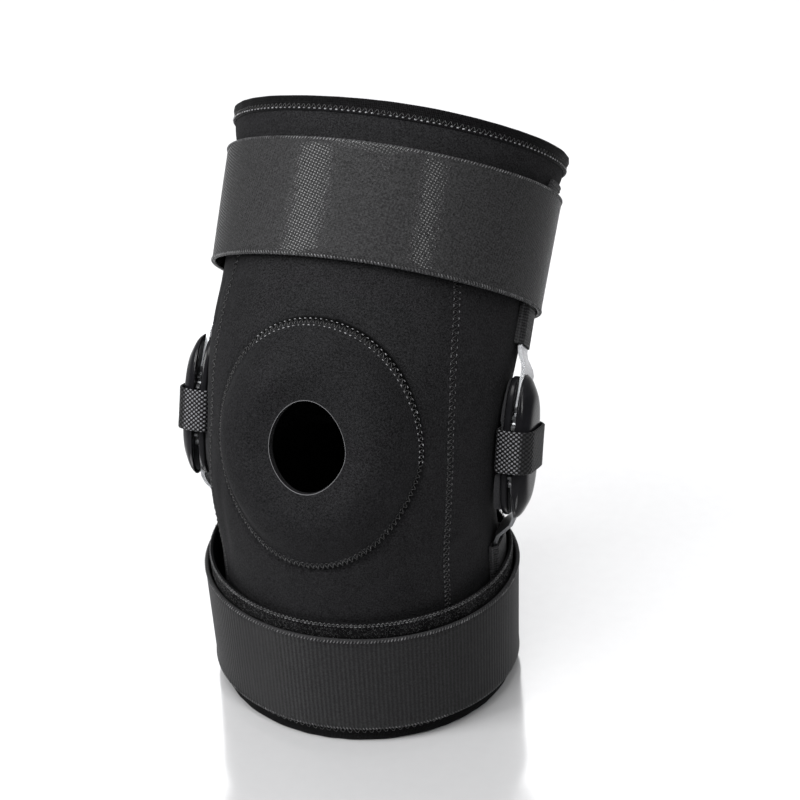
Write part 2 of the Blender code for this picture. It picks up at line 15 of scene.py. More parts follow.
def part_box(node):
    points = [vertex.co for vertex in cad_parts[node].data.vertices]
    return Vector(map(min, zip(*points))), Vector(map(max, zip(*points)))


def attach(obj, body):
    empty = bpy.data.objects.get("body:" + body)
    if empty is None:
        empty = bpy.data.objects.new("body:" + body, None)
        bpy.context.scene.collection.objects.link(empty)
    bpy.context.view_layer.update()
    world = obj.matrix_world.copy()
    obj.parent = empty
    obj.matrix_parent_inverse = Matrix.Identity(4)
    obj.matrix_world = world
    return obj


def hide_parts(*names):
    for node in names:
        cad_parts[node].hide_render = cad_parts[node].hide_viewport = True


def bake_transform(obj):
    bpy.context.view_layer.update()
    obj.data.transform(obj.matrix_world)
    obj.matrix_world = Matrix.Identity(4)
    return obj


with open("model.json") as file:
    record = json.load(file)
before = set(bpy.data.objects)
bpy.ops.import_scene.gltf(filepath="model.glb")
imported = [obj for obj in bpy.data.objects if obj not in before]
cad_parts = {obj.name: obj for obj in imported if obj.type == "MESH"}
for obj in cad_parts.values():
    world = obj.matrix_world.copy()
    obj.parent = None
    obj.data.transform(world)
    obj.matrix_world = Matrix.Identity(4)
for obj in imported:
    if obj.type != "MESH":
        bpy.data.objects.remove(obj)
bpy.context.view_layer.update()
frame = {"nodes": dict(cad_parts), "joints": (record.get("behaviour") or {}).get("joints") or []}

MM = 0.001
TURN = 2.0 * math.pi
JOINTS = {joint["name"]: joint for joint in frame["joints"]}
LOW_PIVOT = Vector(JOINTS["left_lower_pivot"]["pos_m"]) / MM
HIGH_PIVOT = Vector(JOINTS["left_upper_pivot"]["pos_m"]) / MM
HALF_FLEX = -math.radians(JOINTS["left_lower_pivot"]["range_deg"][0])
CALF_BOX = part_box("calf_sleeve")

# ---- Places on the straight brace, in millimetres ----
FRAME_Y = 0.5 * (CALF_BOX[0].y + CALF_BOX[1].y) / MM
PIVOT_Y = LOW_PIVOT.y - FRAME_Y
PIVOT_OFFSET = 0.5 * (HIGH_PIVOT - LOW_PIVOT).length
KNEE_Z = LOW_PIVOT.z + PIVOT_OFFSET
CALF_CUFF_TOP = 75.0
THIGH_CUFF_BOTTOM = 212.5
SLEEVE_TOP = 294.0
SLEEVE_EDGE = 3.0
BINDING_WIDTH = 8.0
LOWER_STRAP = (8.5, 66.5)
UPPER_STRAP = (212.5, 272.5)
LOOP_BAND = (8.6, 75.0)
LOWER_POCKET = (12.0, 21.0, 87.0)   # flat end, where it has its full thickness, open end
UPPER_POCKET = (278.0, 258.0, 193.0)
GAP = 0.3
NEOPRENE = 4.0
WEBBING = 2.0
BAND_THICK = 1.5
BINDING_PROUD = 1.4
MEAN_RADIUS = 76.0                  # turns an angle round the leg into millimetres
STATIONS = np.array((
    (0.0, 75.9, 71.0),
    (10.0, 72.3, 69.7),
    (88.0, 72.3, 70.3),
    (142.0, 76.3, 73.2),
    (196.0, 78.7, 77.3),
    (258.0, 78.9, 78.5),
    (288.0, 86.0, 80.4),
    (294.0, 86.8, 80.7),
))
LOWER_STRAP_RIM = ((81.2, 74.6), (83.2, 75.8))
UPPER_STRAP_RIM = ((85.8, 83.0), (87.4, 84.4))
LOOP_BAND_RIM = ((78.8, 72.2), (79.6, 73.6))

# ---- Knee pad ----
PAD_Z = 145.0
PAD_HALF = (58.5, 45.0)
HOLE_Z = 146.0
PAD_HOLE = (19.2, 18.5)
PAD_THICK = 9.0
PAD_STAND_OFF = 0.6
PAD_EDGE = 1.9                      # thickness of its stitched edge
PAD_MARGIN = 3.0                    # width of that edge
HOLE_CLEAR = 3.5                    # the sleeve's hole is this much wider than the pad's
# The rim's stitches are pale from here, left of the middle, round to the right.
PALE_FROM = 32.0

# ---- Hinge ----
PLATE_HALF = (13.0, 36.0)
CONDYLE_HALF = (11.8, 34.0)
CONDYLE_OUT = 80.0
CONDYLE_EDGE = 0.7
CONDYLE_WEDGE = 0.09
INNER_PLATE = (80.3, 83.9)
OUTER_PLATE = (86.5, 87.9)
COVER_SKIRT = 86.7
COVER_CROWN = 94.0
COVER_WALL = 1.3
PIN_RADIUS = 3.0
PIN_HEAD = 4.6
POCKET_HALF_WIDTH = 12.0
POCKET_THICK = 4.2
POCKET_HEM = 1.6
POCKET_WALL = 0.5
LOOP_HALF_HEIGHT = 11.0
LOOP_THICK = 1.2
TAB_THICK = 1.6
TAB_ARC = (math.radians(150.0), math.radians(179.0))
TAB_HALF_HEIGHT = 24.0
TAB_NOSE = 0.35
TAB_NARROWING = 0.9
STRAP_BODY = {"upper_strap_end": "thigh", "lower_strap_end": "shin"}

# ---- Stitching and unevenness ----
FAR_FROM_EDGE = 9.0                 # a cloth measure that shows no edge or seam
DOT_PITCH = 2.7
COARSE_LINE = 900                   # points along a line right round the leg
PAD_CREASE = (1.7, 1.014, 0.024)    # depth, and where it runs and how wide in pad radii
CREASE_WANDER = (1.2, 0.16)         # mm across a crease, turns along it
ROUNDEST = 2.4                      # power of the hinge plates' rounded outline
PIN_ZS = (KNEE_Z - PIVOT_OFFSET, KNEE_Z + PIVOT_OFFSET)


# ---- Shape rules of the straight brace ----
def smooth(t):
    t = np.clip(t, 0.0, 1.0)
    return t * t * (3.0 - 2.0 * t)


def sleeve_half(z):
    """Half-width and half-depth of the sleeve's outside at each height, as two arrays."""
    z = np.clip(np.asarray(z, float), 0.0, SLEEVE_TOP)
    i = np.clip(np.searchsorted(STATIONS[:, 0], z, side="left") - 1, 0, len(STATIONS) - 2)
    low = STATIONS[i]
    high = STATIONS[i + 1]
    t = smooth((z - low[..., 0]) / (high[..., 0] - low[..., 0]))
    half = low[..., 1:] + (high[..., 1:] - low[..., 1:]) * t[..., None]
    return half[..., 0], half[..., 1]


def round_leg(a, b, angle, z, off):
    """Straight points off millimetres outside an ellipse of half-width a and half-depth b."""
    return np.stack(np.broadcast_arrays(
        (a + off) * np.sin(angle), -(b + off) * np.cos(angle), z), axis=-1)


def turned(y, z, pivot_z, angle):
    """(y, z) turned by an angle about a pivot."""
    dy = y - PIVOT_Y
    dz = z - pivot_z
    c = np.cos(angle)
    s = np.sin(angle)
    return PIVOT_Y + dy * c + dz * s, pivot_z - dy * s + dz * c


def place(points, way):
    """The resting place, in metres, of straight points that are fabric or ride on a rigid body."""
    x, y, z = np.asarray(points, float).reshape(-1, 3).T
    if way == "fabric":
        below = smooth((z - CALF_CUFF_TOP) / (KNEE_Z - CALF_CUFF_TOP))
        above = smooth((z - KNEE_Z) / (THIGH_CUFF_BOTTOM - KNEE_Z))
    else:
        below = 0.0 if way == "shin" else 1.0
        above = 1.0 if way == "thigh" else 0.0
    y, z = turned(y, z, KNEE_Z + PIVOT_OFFSET, HALF_FLEX * above)
    y, z = turned(y, z, KNEE_Z - PIVOT_OFFSET, HALF_FLEX * below)
    return np.column_stack((x, y + FRAME_Y, z)) * MM


MIDDLE = Vector(place([(0.0, 0.0, KNEE_Z)], "hinge")[0])
# Bend ranges for the two fabric halves, each tilted to spread over more of the front, where the pad
# is, and to end short of the straps at the back. Nothing here applies them; the pieces keep their
# resting shape.
LOWER_WAY = Vector((0.0, math.sin(HALF_FLEX / 2.0), math.cos(HALF_FLEX / 2.0)))
UPPER_WAY = Vector((0.0, math.sin(1.5 * HALF_FLEX), math.cos(1.5 * HALF_FLEX)))
BLENDS = {
    "lower_fabric": ("shin", "left_hinge", MIDDLE - 0.060 * LOWER_WAY,
                     MIDDLE - 0.0135 * LOWER_WAY),
    "upper_fabric": ("left_hinge", "thigh", MIDDLE + 0.0135 * UPPER_WAY,
                     MIDDLE + 0.057 * UPPER_WAY),
}

# Soft creases of the sleeve: two ends as (angle round the leg, height), half-width, depth.
CREASES = (
    (-50.0, 88.0, -44.0, 132.0, 5.0, 1.0),
    (-62.0, 180.0, -56.0, 206.0, 3.0, 0.6),
    (-68.0, 176.0, -66.0, 204.0, 2.6, 0.5),
    (138.0, 128.0, 218.0, 124.0, 4.0, 1.7),
    (146.0, 144.0, 224.0, 147.0, 4.4, 2.1),
    (134.0, 163.0, 212.0, 161.0, 4.0, 1.6),
    (112.0, 150.0, 140.0, 138.0, 3.4, 0.9),
    (-112.0, 150.0, -140.0, 139.0, 3.4, 0.9),
    (60.0, 96.0, 78.0, 104.0, 4.0, 0.7),
    (-62.0, 96.0, -80.0, 102.0, 4.0, 0.7),
)


def relief(angle, z):
    """How far the sleeve's skin stands off its plain shape: creases and a slight unevenness."""
    angle = np.asarray(angle, float)
    z = np.asarray(z, float)
    total = np.zeros_like(z)
    for a0, z0, a1, z1, width, depth in CREASES:
        start = np.array((math.radians(a0) * MEAN_RADIUS, z0))
        along = np.array((math.radians(a1) * MEAN_RADIUS, z1)) - start
        length = np.hypot(*along)
        along = along / length
        turn = np.mod(angle - math.radians(a0) + math.pi, TURN) - math.pi + math.radians(a0)
        dx = turn * MEAN_RADIUS - start[0]
        dz = z - start[1]
        t = dx * along[0] + dz * along[1]
        across = -dx * along[1] + dz * along[0]
        across = (across + CREASE_WANDER[0] * np.sin(t * CREASE_WANDER[1] + a0)) / width
        ends = smooth(t / (0.3 * length) + 0.35) * smooth((length - t) / (0.3 * length) + 0.35)
        valley = np.exp(-across ** 2) - 0.45 * np.exp(-(across / 2.1) ** 2)
        total -= depth * ends * valley
    round_ = (np.mod(angle + math.pi, TURN) - math.pi) * MEAN_RADIUS / PAD_HALF[0]
    reach = np.hypot(round_, (z - PAD_Z) / PAD_HALF[1])
    depth, centre, width = PAD_CREASE
    total -= depth * np.exp(-(((reach - centre) / width) ** 2))
    total += 0.22 * np.sin(3.0 * angle + 0.05 * z) * np.sin(0.061 * z + 1.3 * np.cos(angle))
    total += 0.12 * np.sin(8.0 * angle - 0.09 * z + 0.7)
    window = smooth((z - 75.0) / 10.0) * smooth((210.0 - z) / 8.0)
    hinge = np.abs(np.abs(np.mod(angle + math.pi, TURN) - math.pi) - 1.72)
    under_hinge = smooth((0.62 - hinge) / 0.2) * smooth((50.0 - np.abs(z - KNEE_Z)) / 14.0)
    return total * window * (1.0 - under_hinge)


def on_sleeve(angle, z, off):
    """Straight points on the sleeve's skin, off millimetres outside it."""
    a, b = sleeve_half(z)
    return round_leg(a, b, angle, z, off + relief(angle, z))


def on_rims(span, rims):
    """A surface rule like on_sleeve for a band between two rim ellipses."""
    def rule(angle, z, off):
        t = (np.asarray(z, float) - span[0]) / (span[1] - span[0])
        a = rims[0][0] + (rims[1][0] - rims[0][0]) * t
        b = rims[0][1] + (rims[1][1] - rims[0][1]) * t
        return round_leg(a, b, angle, z, off)
    return rule


# ---- Node materials ----
HOLE_EDGE_HIGHLIGHT = (0.11, 0.11, 0.114)    # painted highlight: a pale line standing for light catching the pad hole's cut edge


def scaled(colour, by):
    return tuple(by * part for part in colour)


class Nodes:
    """Short calls for building one material."""

    def __init__(self, name, colour, roughness, metallic=0.0, specular=0.5):
        self.material = bpy.data.materials.new(name)
        self.material.use_nodes = True
        self.tree = self.material.node_tree
        self.shader = self.tree.nodes["Principled BSDF"]
        self.put("Base Color", (*colour, 1.0))
        self.put("Roughness", roughness)
        self.put("Metallic", metallic)
        self.put("Specular IOR Level", specular)

    def put(self, socket, value):
        self.shader.inputs[socket].default_value = value

    def node(self, kind, **settings):
        made = self.tree.nodes.new(kind)
        for key, value in settings.items():
            setattr(made, key, value)
        return made

    def link(self, source, target):
        self.tree.links.new(source, target)

    def feed(self, socket, value):
        if isinstance(value, bpy.types.NodeSocket):
            self.link(value, socket)
        else:
            socket.default_value = value

    def math(self, operation, a, b=0.0, c=0.0):
        made = self.node("ShaderNodeMath", operation=operation)
        for socket, value in zip(made.inputs, (a, b, c)):
            self.feed(socket, value)
        return made.outputs[0]

    def plus(self, a, b):
        return self.math("ADD", a, b)

    def times(self, a, b):
        return self.math("MULTIPLY", a, b)

    def wave(self, value, pitch):
        """A sine that repeats every pitch millimetres."""
        return self.math("SINE", self.times(value, TURN / pitch))

    def cloth(self):
        """Millimetres along the piece, across it, and from its edge or seam."""
        attribute = self.node("ShaderNodeAttribute", attribute_name="cloth")
        split = self.node("ShaderNodeSeparateXYZ")
        self.link(attribute.outputs["Vector"], split.inputs[0])
        return attribute.outputs["Vector"], split.outputs[0], split.outputs[1], split.outputs[2]

    def noise(self, scale, detail=2.0, vector=None, roughness=0.5):
        made = self.node("ShaderNodeTexNoise")
        made.inputs["Scale"].default_value = scale
        made.inputs["Detail"].default_value = detail
        made.inputs["Roughness"].default_value = roughness
        if vector is None:
            vector = self.node("ShaderNodeTexCoord").outputs["Object"]
        self.link(vector, made.inputs["Vector"])
        return made.outputs[0]

    def ramp(self, value, low, high, start=0.0, stop=1.0):
        """value mapped from low..high to start..stop, clamped and eased."""
        made = self.node("ShaderNodeMapRange", interpolation_type="SMOOTHSTEP")
        keys = ("From Min", "From Max", "To Min", "To Max")
        for key, number in zip(keys, (low, high, start, stop)):
            made.inputs[key].default_value = number
        self.link(value, made.inputs["Value"])
        return made.outputs[0]

    def colour(self, share, dark, light):
        mix = self.node("ShaderNodeMix", data_type="RGBA")
        self.feed(mix.inputs[0], share)
        mix.inputs[6].default_value = (*dark, 1.0)
        mix.inputs[7].default_value = (*light, 1.0)
        return mix.outputs[2]

    def over(self, share, below, colour):
        """A constant colour laid over another."""
        mix = self.node("ShaderNodeMix", data_type="RGBA")
        self.link(share, mix.inputs[0])
        self.link(below, mix.inputs[6])
        mix.inputs[7].default_value = (*colour, 1.0)
        return mix.outputs[2]

    def paint(self, share, dark, light):
        self.link(self.colour(share, dark, light), self.shader.inputs["Base Color"])

    def bump(self, height, distance, strength=1.0):
        made = self.node("ShaderNodeBump")
        made.inputs["Strength"].default_value = strength
        made.inputs["Distance"].default_value = distance * MM
        self.link(height, made.inputs["Height"])
        self.link(made.outputs[0], self.shader.inputs["Normal"])

    def sheen(self, weight, roughness, tint):
        self.put("Sheen Weight", weight)
        self.put("Sheen Roughness", roughness)
        self.put("Sheen Tint", (*tint, 1.0))


def make_jersey(name, base, seam=False, painted_hole_highlight=False):
    """Neoprene's knitted face: fine wales, speckled fibres, grooves at seams, painted shade round
    the pad's rim and a painted highlight on the hole's cut edge.
    """
    m = Nodes(name, base, 0.7, specular=0.02)
    _, along, across, edge = m.cloth()
    wale = m.wave(along, 0.9)
    course = m.wave(across, 0.75)
    knit = m.times(wale, course)
    grain = m.noise(1300.0, 2.0, roughness=0.7)
    mottle = m.noise(60.0, 3.0)
    height = m.plus(m.times(knit, 0.18), grain)
    if seam:
        groove = m.ramp(m.math("ABSOLUTE", edge), 0.2, 1.0, 0.0, 2.2)
        height = m.plus(height, groove)
    share = m.plus(m.times(grain, 0.9), m.times(mottle, 0.1))
    body = m.colour(m.ramp(share, 0.25, 0.78), scaled(base, 0.25), scaled(base, 2.0))
    round_ = m.math("DIVIDE", along, PAD_HALF[0])
    up = m.math("DIVIDE", m.math("SUBTRACT", across, PAD_Z), PAD_HALF[1])
    reach = m.math("SQRT", m.plus(m.times(round_, round_), m.times(up, up)))
    # Painted shade: a dark line round the pad's rim, on pad and sleeve alike, standing for the
    # shadow in the groove between them.
    crease_shade = m.ramp(m.math("ABSOLUTE", m.math("SUBTRACT", reach, 1.0)), 0.008, 0.03, 1.0, 0.0)
    body = m.over(crease_shade, body, scaled(base, 0.12))
    # Painted highlight: the pad hole's cut edge is painted pale, standing for light catching it.
    if painted_hole_highlight:
        body = m.over(m.ramp(edge, 0.05, 0.35, 1.0, 0.0), body, HOLE_EDGE_HIGHLIGHT)
    m.link(body, m.shader.inputs["Base Color"])
    m.bump(height, 0.2, 0.9)
    m.sheen(0.006, 0.35, (0.75, 0.77, 0.8))
    return m.material


def make_herringbone(name, base):
    """Elastic webbing: small shiny picks in a slanting lattice, matt ground, pale selvedges."""
    m = Nodes(name, base, 0.7, specular=0.14)
    _, along, across, edge = m.cloth()
    fluff = m.noise(1000.0, 2.0, roughness=0.7)
    wander = m.times(m.noise(26.0, 2.0), 2.4)
    steep = m.plus(m.math("DIVIDE", along, 2.5), m.math("DIVIDE", across, 4.4))
    flat = m.math("SUBTRACT", m.math("DIVIDE", along, 5.6), m.math("DIVIDE", across, 2.3))
    first = m.math("SINE", m.plus(m.times(steep, TURN), wander))
    second = m.math("SINE", m.plus(m.times(flat, TURN), wander))
    pick = m.ramp(m.times(first, second), 0.12, 0.5)
    tilt = m.noise(330.0, 1.0)
    height = m.plus(m.times(pick, 0.5), m.times(tilt, 1.2))
    share = m.plus(m.times(pick, 0.06), fluff)
    body = m.colour(m.ramp(share, 0.3, 0.75), scaled(base, 0.4), scaled(base, 1.7))
    dashes = m.ramp(m.wave(along, 2.6), -0.2, 0.8)
    rim = m.times(m.ramp(edge, 0.5, 1.3, 1.0, 0.0), dashes)
    m.link(m.over(rim, body, scaled(base, 2.4)), m.shader.inputs["Base Color"])
    m.link(m.ramp(pick, 0.3, 1.0, 0.75, 0.16), m.shader.inputs["Roughness"])
    m.bump(height, 0.12, 1.0)
    m.sheen(0.008, 0.35, (0.85, 0.87, 0.9))
    return m.material


def make_basket(name, base):
    """Keeper webbing: shiny picks over a dark ground, with painted light on the forward-facing
    stretch where it leaves the hinge.
    """
    m = Nodes(name, base, 0.5, specular=0.07)
    _, along, across, _ = m.cloth()
    first = m.wave(along, 2.5)
    second = m.wave(across, 2.3)
    pick = m.times(first, second)
    fluff = m.noise(1300.0, 2.0, roughness=0.7)
    height = m.plus(m.times(pick, 0.6), m.times(fluff, 0.4))
    body = m.colour(m.ramp(height, -0.1, 0.75), scaled(base, 0.35), scaled(base, 2.0))
    # Painted light: the picks on the forward-facing stretch, 8 to 21 mm along, are painted far
    # paler, as if lit.
    front = m.times(m.ramp(along, 8.0, 9.5), m.ramp(along, 18.5, 21.5, 1.0, 0.0))
    front = m.times(front, m.ramp(m.plus(pick, m.times(fluff, 0.6)), 0.4, 0.75))
    m.link(m.over(front, body, scaled(base, 17.0)), m.shader.inputs["Base Color"])
    m.bump(height, 0.4, 1.0)
    m.sheen(0.02, 0.35, (0.85, 0.87, 0.9))
    return m.material


def make_ribbed(name, base, pitch, depth, bright=1.8, gloss=0.05):
    """Woven tape with ribs across its length."""
    m = Nodes(name, base, 0.5, specular=gloss)
    _, along, across, edge = m.cloth()
    rib = m.wave(along, pitch)
    weft = m.wave(across, 0.7)
    fluff = m.noise(1000.0, 2.0, roughness=0.7)
    height = m.plus(m.times(rib, 0.5), m.times(weft, 0.25))
    height = m.plus(height, m.times(fluff, 0.35))
    share = m.plus(m.times(height, 0.3), m.times(fluff, 1.1))
    share = m.plus(share, m.ramp(edge, 0.4, 1.4, 0.35, 0.0))
    m.paint(m.ramp(share, 0.25, 1.1), scaled(base, 0.35), scaled(base, bright))
    m.bump(height, depth, 0.9)
    m.sheen(0.008, 0.35, (0.85, 0.87, 0.9))
    return m.material


def make_pile(name, base):
    m = Nodes(name, base, 0.9, specular=0.03)
    tuft = m.noise(700.0, 4.0, roughness=0.8)
    patch = m.noise(90.0, 2.0)
    m.paint(m.ramp(m.times(tuft, patch), 0.1, 0.5), scaled(base, 0.4), scaled(base, 2.0))
    m.bump(tuft, 0.7, 1.0)
    m.sheen(0.02, 0.4, (0.6, 0.6, 0.62))
    return m.material


def make_metal(name, base, roughness, brushed):
    """Rolled steel: fine scratches along the bar and a few smudges."""
    m = Nodes(name, base, roughness, metallic=1.0)
    coordinates = m.node("ShaderNodeTexCoord").outputs["Object"]
    scale = m.node("ShaderNodeMapping")
    scale.inputs["Scale"].default_value = brushed
    m.link(coordinates, scale.inputs[0])
    scratch = m.noise(1.0, 3.0, scale.outputs[0], 0.7)
    smudge = m.noise(45.0, 3.0)
    worn = m.ramp(smudge, 0.3, 0.75, roughness * 0.8, roughness * 1.5)
    m.link(worn, m.shader.inputs["Roughness"])
    m.paint(m.ramp(scratch, 0.2, 0.8), scaled(base, 0.78), scaled(base, 1.1))
    m.bump(scratch, 0.02, 0.5)
    return m.material


def make_gloss(name, base, roughness):
    """Lacquer or polished moulding with a very slight orange peel and handling marks."""
    m = Nodes(name, base, roughness, specular=0.1)
    peel = m.noise(420.0, 2.0)
    marks = m.noise(55.0, 4.0, roughness=0.7)
    m.link(m.ramp(marks, 0.35, 0.8, roughness, roughness * 2.2), m.shader.inputs["Roughness"])
    m.paint(m.ramp(marks, 0.3, 0.8), scaled(base, 0.8), scaled(base, 1.3))
    m.bump(peel, 0.03, 0.35)
    return m.material


def make_thread(name, base):
    """Sewing thread that catches the light here and there."""
    m = Nodes(name, base, 0.45, specular=0.4)
    twist = m.noise(2600.0, 1.0)
    catch = m.noise(330.0, 1.0)
    share = m.plus(m.times(twist, 0.4), m.times(catch, 0.6))
    m.paint(m.ramp(share, 0.38, 0.66), scaled(base, 0.3), scaled(base, 1.9))
    m.bump(twist, 0.08, 0.6)
    return m.material


def make_felt(name, base):
    m = Nodes(name, base, 0.85, specular=0.2)
    tuft = m.noise(1400.0, 4.0, roughness=0.75)
    m.paint(m.ramp(tuft, 0.25, 0.8), scaled(base, 0.6), scaled(base, 1.6))
    m.bump(tuft, 0.3, 0.8)
    m.sheen(0.08, 0.4, (0.7, 0.7, 0.72))
    return m.material


def make_floor_paint(name):
    """A polished white table top."""
    m = Nodes(name, (0.8, 0.8, 0.81), 0.13, metallic=0.64)
    grain = m.noise(140.0, 3.0)
    m.paint(m.ramp(grain, 0.2, 0.8), (0.83, 0.83, 0.84), (0.85, 0.85, 0.86))
    return m.material


LOOKS = {
    "jersey": make_jersey("knit_face", (0.0088, 0.0088, 0.0093), seam=True),
    "pad": make_jersey("pad_face", (0.0080, 0.0080, 0.0085), painted_hole_highlight=True),
    "herringbone": make_herringbone("herringbone_webbing", (0.0135, 0.0135, 0.014)),
    "rib": make_ribbed("ribbed_webbing", (0.0098, 0.0098, 0.0102), 2.3, 0.14, 1.8, 0.06),
    "pocket": make_ribbed("pocket_webbing", (0.014, 0.014, 0.0146), 1.5, 0.35, 2.4),
    "tape": make_ribbed("binding_tape", (0.0035, 0.0035, 0.0037), 0.8, 0.15, 1.8, 0.02),
    "loop": make_basket("keeper_webbing", (0.0085, 0.0085, 0.009)),
    "pile": make_pile("loop_pile", (0.0045, 0.0045, 0.0048)),
    "fibre": make_thread("pile_fibre", (0.012, 0.012, 0.0125)),
    "thread": make_thread("sewing_thread", (0.036, 0.036, 0.0375)),
    "sunk_thread": make_thread("sunk_thread", (0.005, 0.005, 0.0053)),
    "rim_thread": make_thread("binding_thread", (0.11, 0.11, 0.114)),
    "pale_thread": make_thread("selvedge_thread", (0.06, 0.06, 0.062)),
    "felt": make_felt("pad_felt", (0.02, 0.02, 0.0215)),
    "steel": make_metal("rolled_steel", (0.30, 0.305, 0.315), 0.26, (900.0, 900.0, 25.0)),
    "dark_steel": make_metal("blackened_steel", (0.06, 0.061, 0.064), 0.3, (900.0, 900.0, 25.0)),
    "plate": make_gloss("black_lacquer", (0.008, 0.008, 0.009), 0.16),
    "cover": make_gloss("polished_moulding", (0.006, 0.006, 0.007), 0.12),
}


# ---- Mesh helpers ----
def grid_faces(rows, cols, closed_rows=False, closed_cols=False, start=0):
    """Quads of a rows x cols grid of points."""
    i = np.arange(rows if closed_rows else rows - 1)
    j = np.arange(cols if closed_cols else cols - 1)
    i, j = np.meshgrid(i, j, indexing="ij")
    next_i = (i + 1) % rows
    next_j = (j + 1) % cols
    corners = (i * cols + j, i * cols + next_j, next_i * cols + next_j, next_i * cols + j)
    quads = np.stack(corners, axis=-1)
    return (quads.reshape(-1, 4) + start).tolist()


def add_object(name, data):
    made = bpy.data.objects.new(name, data)
    bpy.context.scene.collection.objects.link(made)
    return made


def end_caps(rows, count):
    """The two end faces of a tube of rows rings, each with count points."""
    first = list(range(count))
    return [first[::-1], [(rows - 1) * count + i for i in first]]


def finish_piece(name, mesh, look, carry, stands_for, sharp):
    if name in frame["nodes"]:
        name = f"{name}_detail"
    mesh.materials.clear()
    mesh.materials.append(LOOKS[look])
    mesh.shade_smooth()
    mesh.set_sharp_from_angle(angle=math.radians(sharp))
    piece = add_object(name, mesh)
    if carry in BLENDS:
        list(BLENDS[carry])
        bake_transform(piece)
    else:
        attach(piece, carry)
    if stands_for:
        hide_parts(*stands_for)
    return piece


def make_piece(name, points, faces, look, carry, way=None, cloth=None, stands_for=(),
               sharp=50.0, flip_x=False):
    """A piece from straight points in millimetres."""
    points = np.asarray(points, float).reshape(-1, 3).copy()
    if flip_x:
        points[:, 0] *= -1.0
    way = way or {"lower_fabric": "fabric", "upper_fabric": "fabric"}.get(carry, carry)
    if way not in ("fabric", "shin", "thigh"):
        way = "hinge"
    mesh = bpy.data.meshes.new(name)
    mesh.from_pydata(place(points, way).tolist(), [], faces)
    if cloth is not None:
        layer = mesh.attributes.new("cloth", "FLOAT_VECTOR", "POINT")
        layer.data.foreach_set("vector", np.asarray(cloth, np.float32).ravel())
    tidy_mesh(mesh)
    return finish_piece(name, mesh, look, carry, stands_for, sharp)


def tidy_mesh(mesh):
    """Merge doubled points and turn every face outwards."""
    bm = bmesh.new()
    bm.from_mesh(mesh)
    bmesh.ops.remove_doubles(bm, verts=bm.verts[:], dist=2e-6)
    bmesh.ops.recalc_face_normals(bm, faces=bm.faces[:])
    if bm.calc_volume(signed=True) < 0.0:
        bmesh.ops.reverse_faces(bm, faces=bm.faces[:])
    bm.to_mesh(mesh)
    bm.free()


def shell(outer, inner, faces):
    """Two matching skins joined along their open edges."""
    count = len(outer)
    seen = {}
    for face in faces:
        for a, b in zip(face, face[1:] + face[:1]):
            key = (min(a, b), max(a, b))
            seen[key] = None if key in seen else (a, b)
    walls = [[b, a, a + count, b + count] for a, b in filter(None, seen.values())]
    backs = [[i + count for i in reversed(face)] for face in faces]
    return np.concatenate((outer, inner)), faces + backs + walls


def used_only(arrays, faces):
    """Drop points that no face uses."""
    used = sorted({i for face in faces for i in face})
    index = {old: new for new, old in enumerate(used)}
    return [array[used] for array in arrays], [[index[i] for i in face] for face in faces]


def trimmed(flat, faces, centre, value, keep_inside):
    """Cut a flat grid along value = 1, moving points on the wrong side onto that line."""
    wrong = value > 1.0 if keep_inside else value < 1.0
    pulled = (flat[wrong] - centre) / np.maximum(value[wrong], 1e-3)[:, None]
    flat[wrong] = centre + pulled
    return [face for face in faces if not all(wrong[i] for i in face)]


def strip_section(half_height, thick, bulge=0.15, count=15, edge_steps=4):
    """Section of a woven strip: (across, out) points round it, with rounded, fuller edges."""
    r = 0.5 * thick
    across = np.linspace(-half_height + r, half_height - r, count)
    swell = bulge * np.exp(-(((half_height - np.abs(across) - 1.6) / 1.1) ** 2))
    outer = np.column_stack((across, thick + swell))
    turn = np.linspace(math.pi / 2, -math.pi / 2, edge_steps + 2)[1:-1]
    top = np.column_stack((half_height - r + r * np.cos(turn), r + r * np.sin(turn)))
    inner = np.column_stack((across[::-1], 0.0 * across))
    bottom = np.column_stack((-top[::-1, 0], top[::-1, 1]))
    return np.concatenate((outer, top, inner, bottom))


def tubes(paths, radius, sides=5):
    """Round threads along paths, an array of (thread, step, xyz) in metres."""
    paths = np.asarray(paths, float)
    count, steps, _ = paths.shape
    tangent = np.gradient(paths, axis=1)
    tangent /= np.linalg.norm(tangent, axis=2, keepdims=True) + 1e-12
    reach = paths[:, -1] - paths[:, 0]
    upright = np.abs(reach[:, 2]) > 0.8 * np.linalg.norm(reach, axis=1)
    guide = np.where(upright[:, None], np.array((1.0, 0.2, 0.0)), np.array((0.0, 0.1, 1.0)))
    side = np.cross(tangent, guide[:, None, :])
    side /= np.linalg.norm(side, axis=2, keepdims=True) + 1e-12
    lift = np.cross(side, tangent)
    taper = np.ones(steps)
    taper[0] = taper[-1] = 0.45
    ring = np.linspace(0.0, TURN, sides, endpoint=False)
    size = (radius * MM * taper)[None, :, None, None]
    across = side[:, :, None, :] * np.cos(ring)[None, None, :, None]
    spread = across + lift[:, :, None, :] * np.sin(ring)[None, None, :, None]
    points = paths[:, :, None, :] + size * spread
    faces = []
    one = grid_faces(steps, sides, closed_cols=True) + end_caps(steps, sides)
    for k in range(count):
        base = k * steps * sides
        faces.extend([[base + i for i in face] for face in one])
    return points.reshape(-1, 3), faces


def make_threads(name, paths, radius, look, carry, sides=5):
    points, faces = tubes(paths, radius, sides)
    mesh = bpy.data.meshes.new(name)
    mesh.from_pydata(points.tolist(), [], faces)
    return finish_piece(name, mesh, look, carry, (), 80.0)


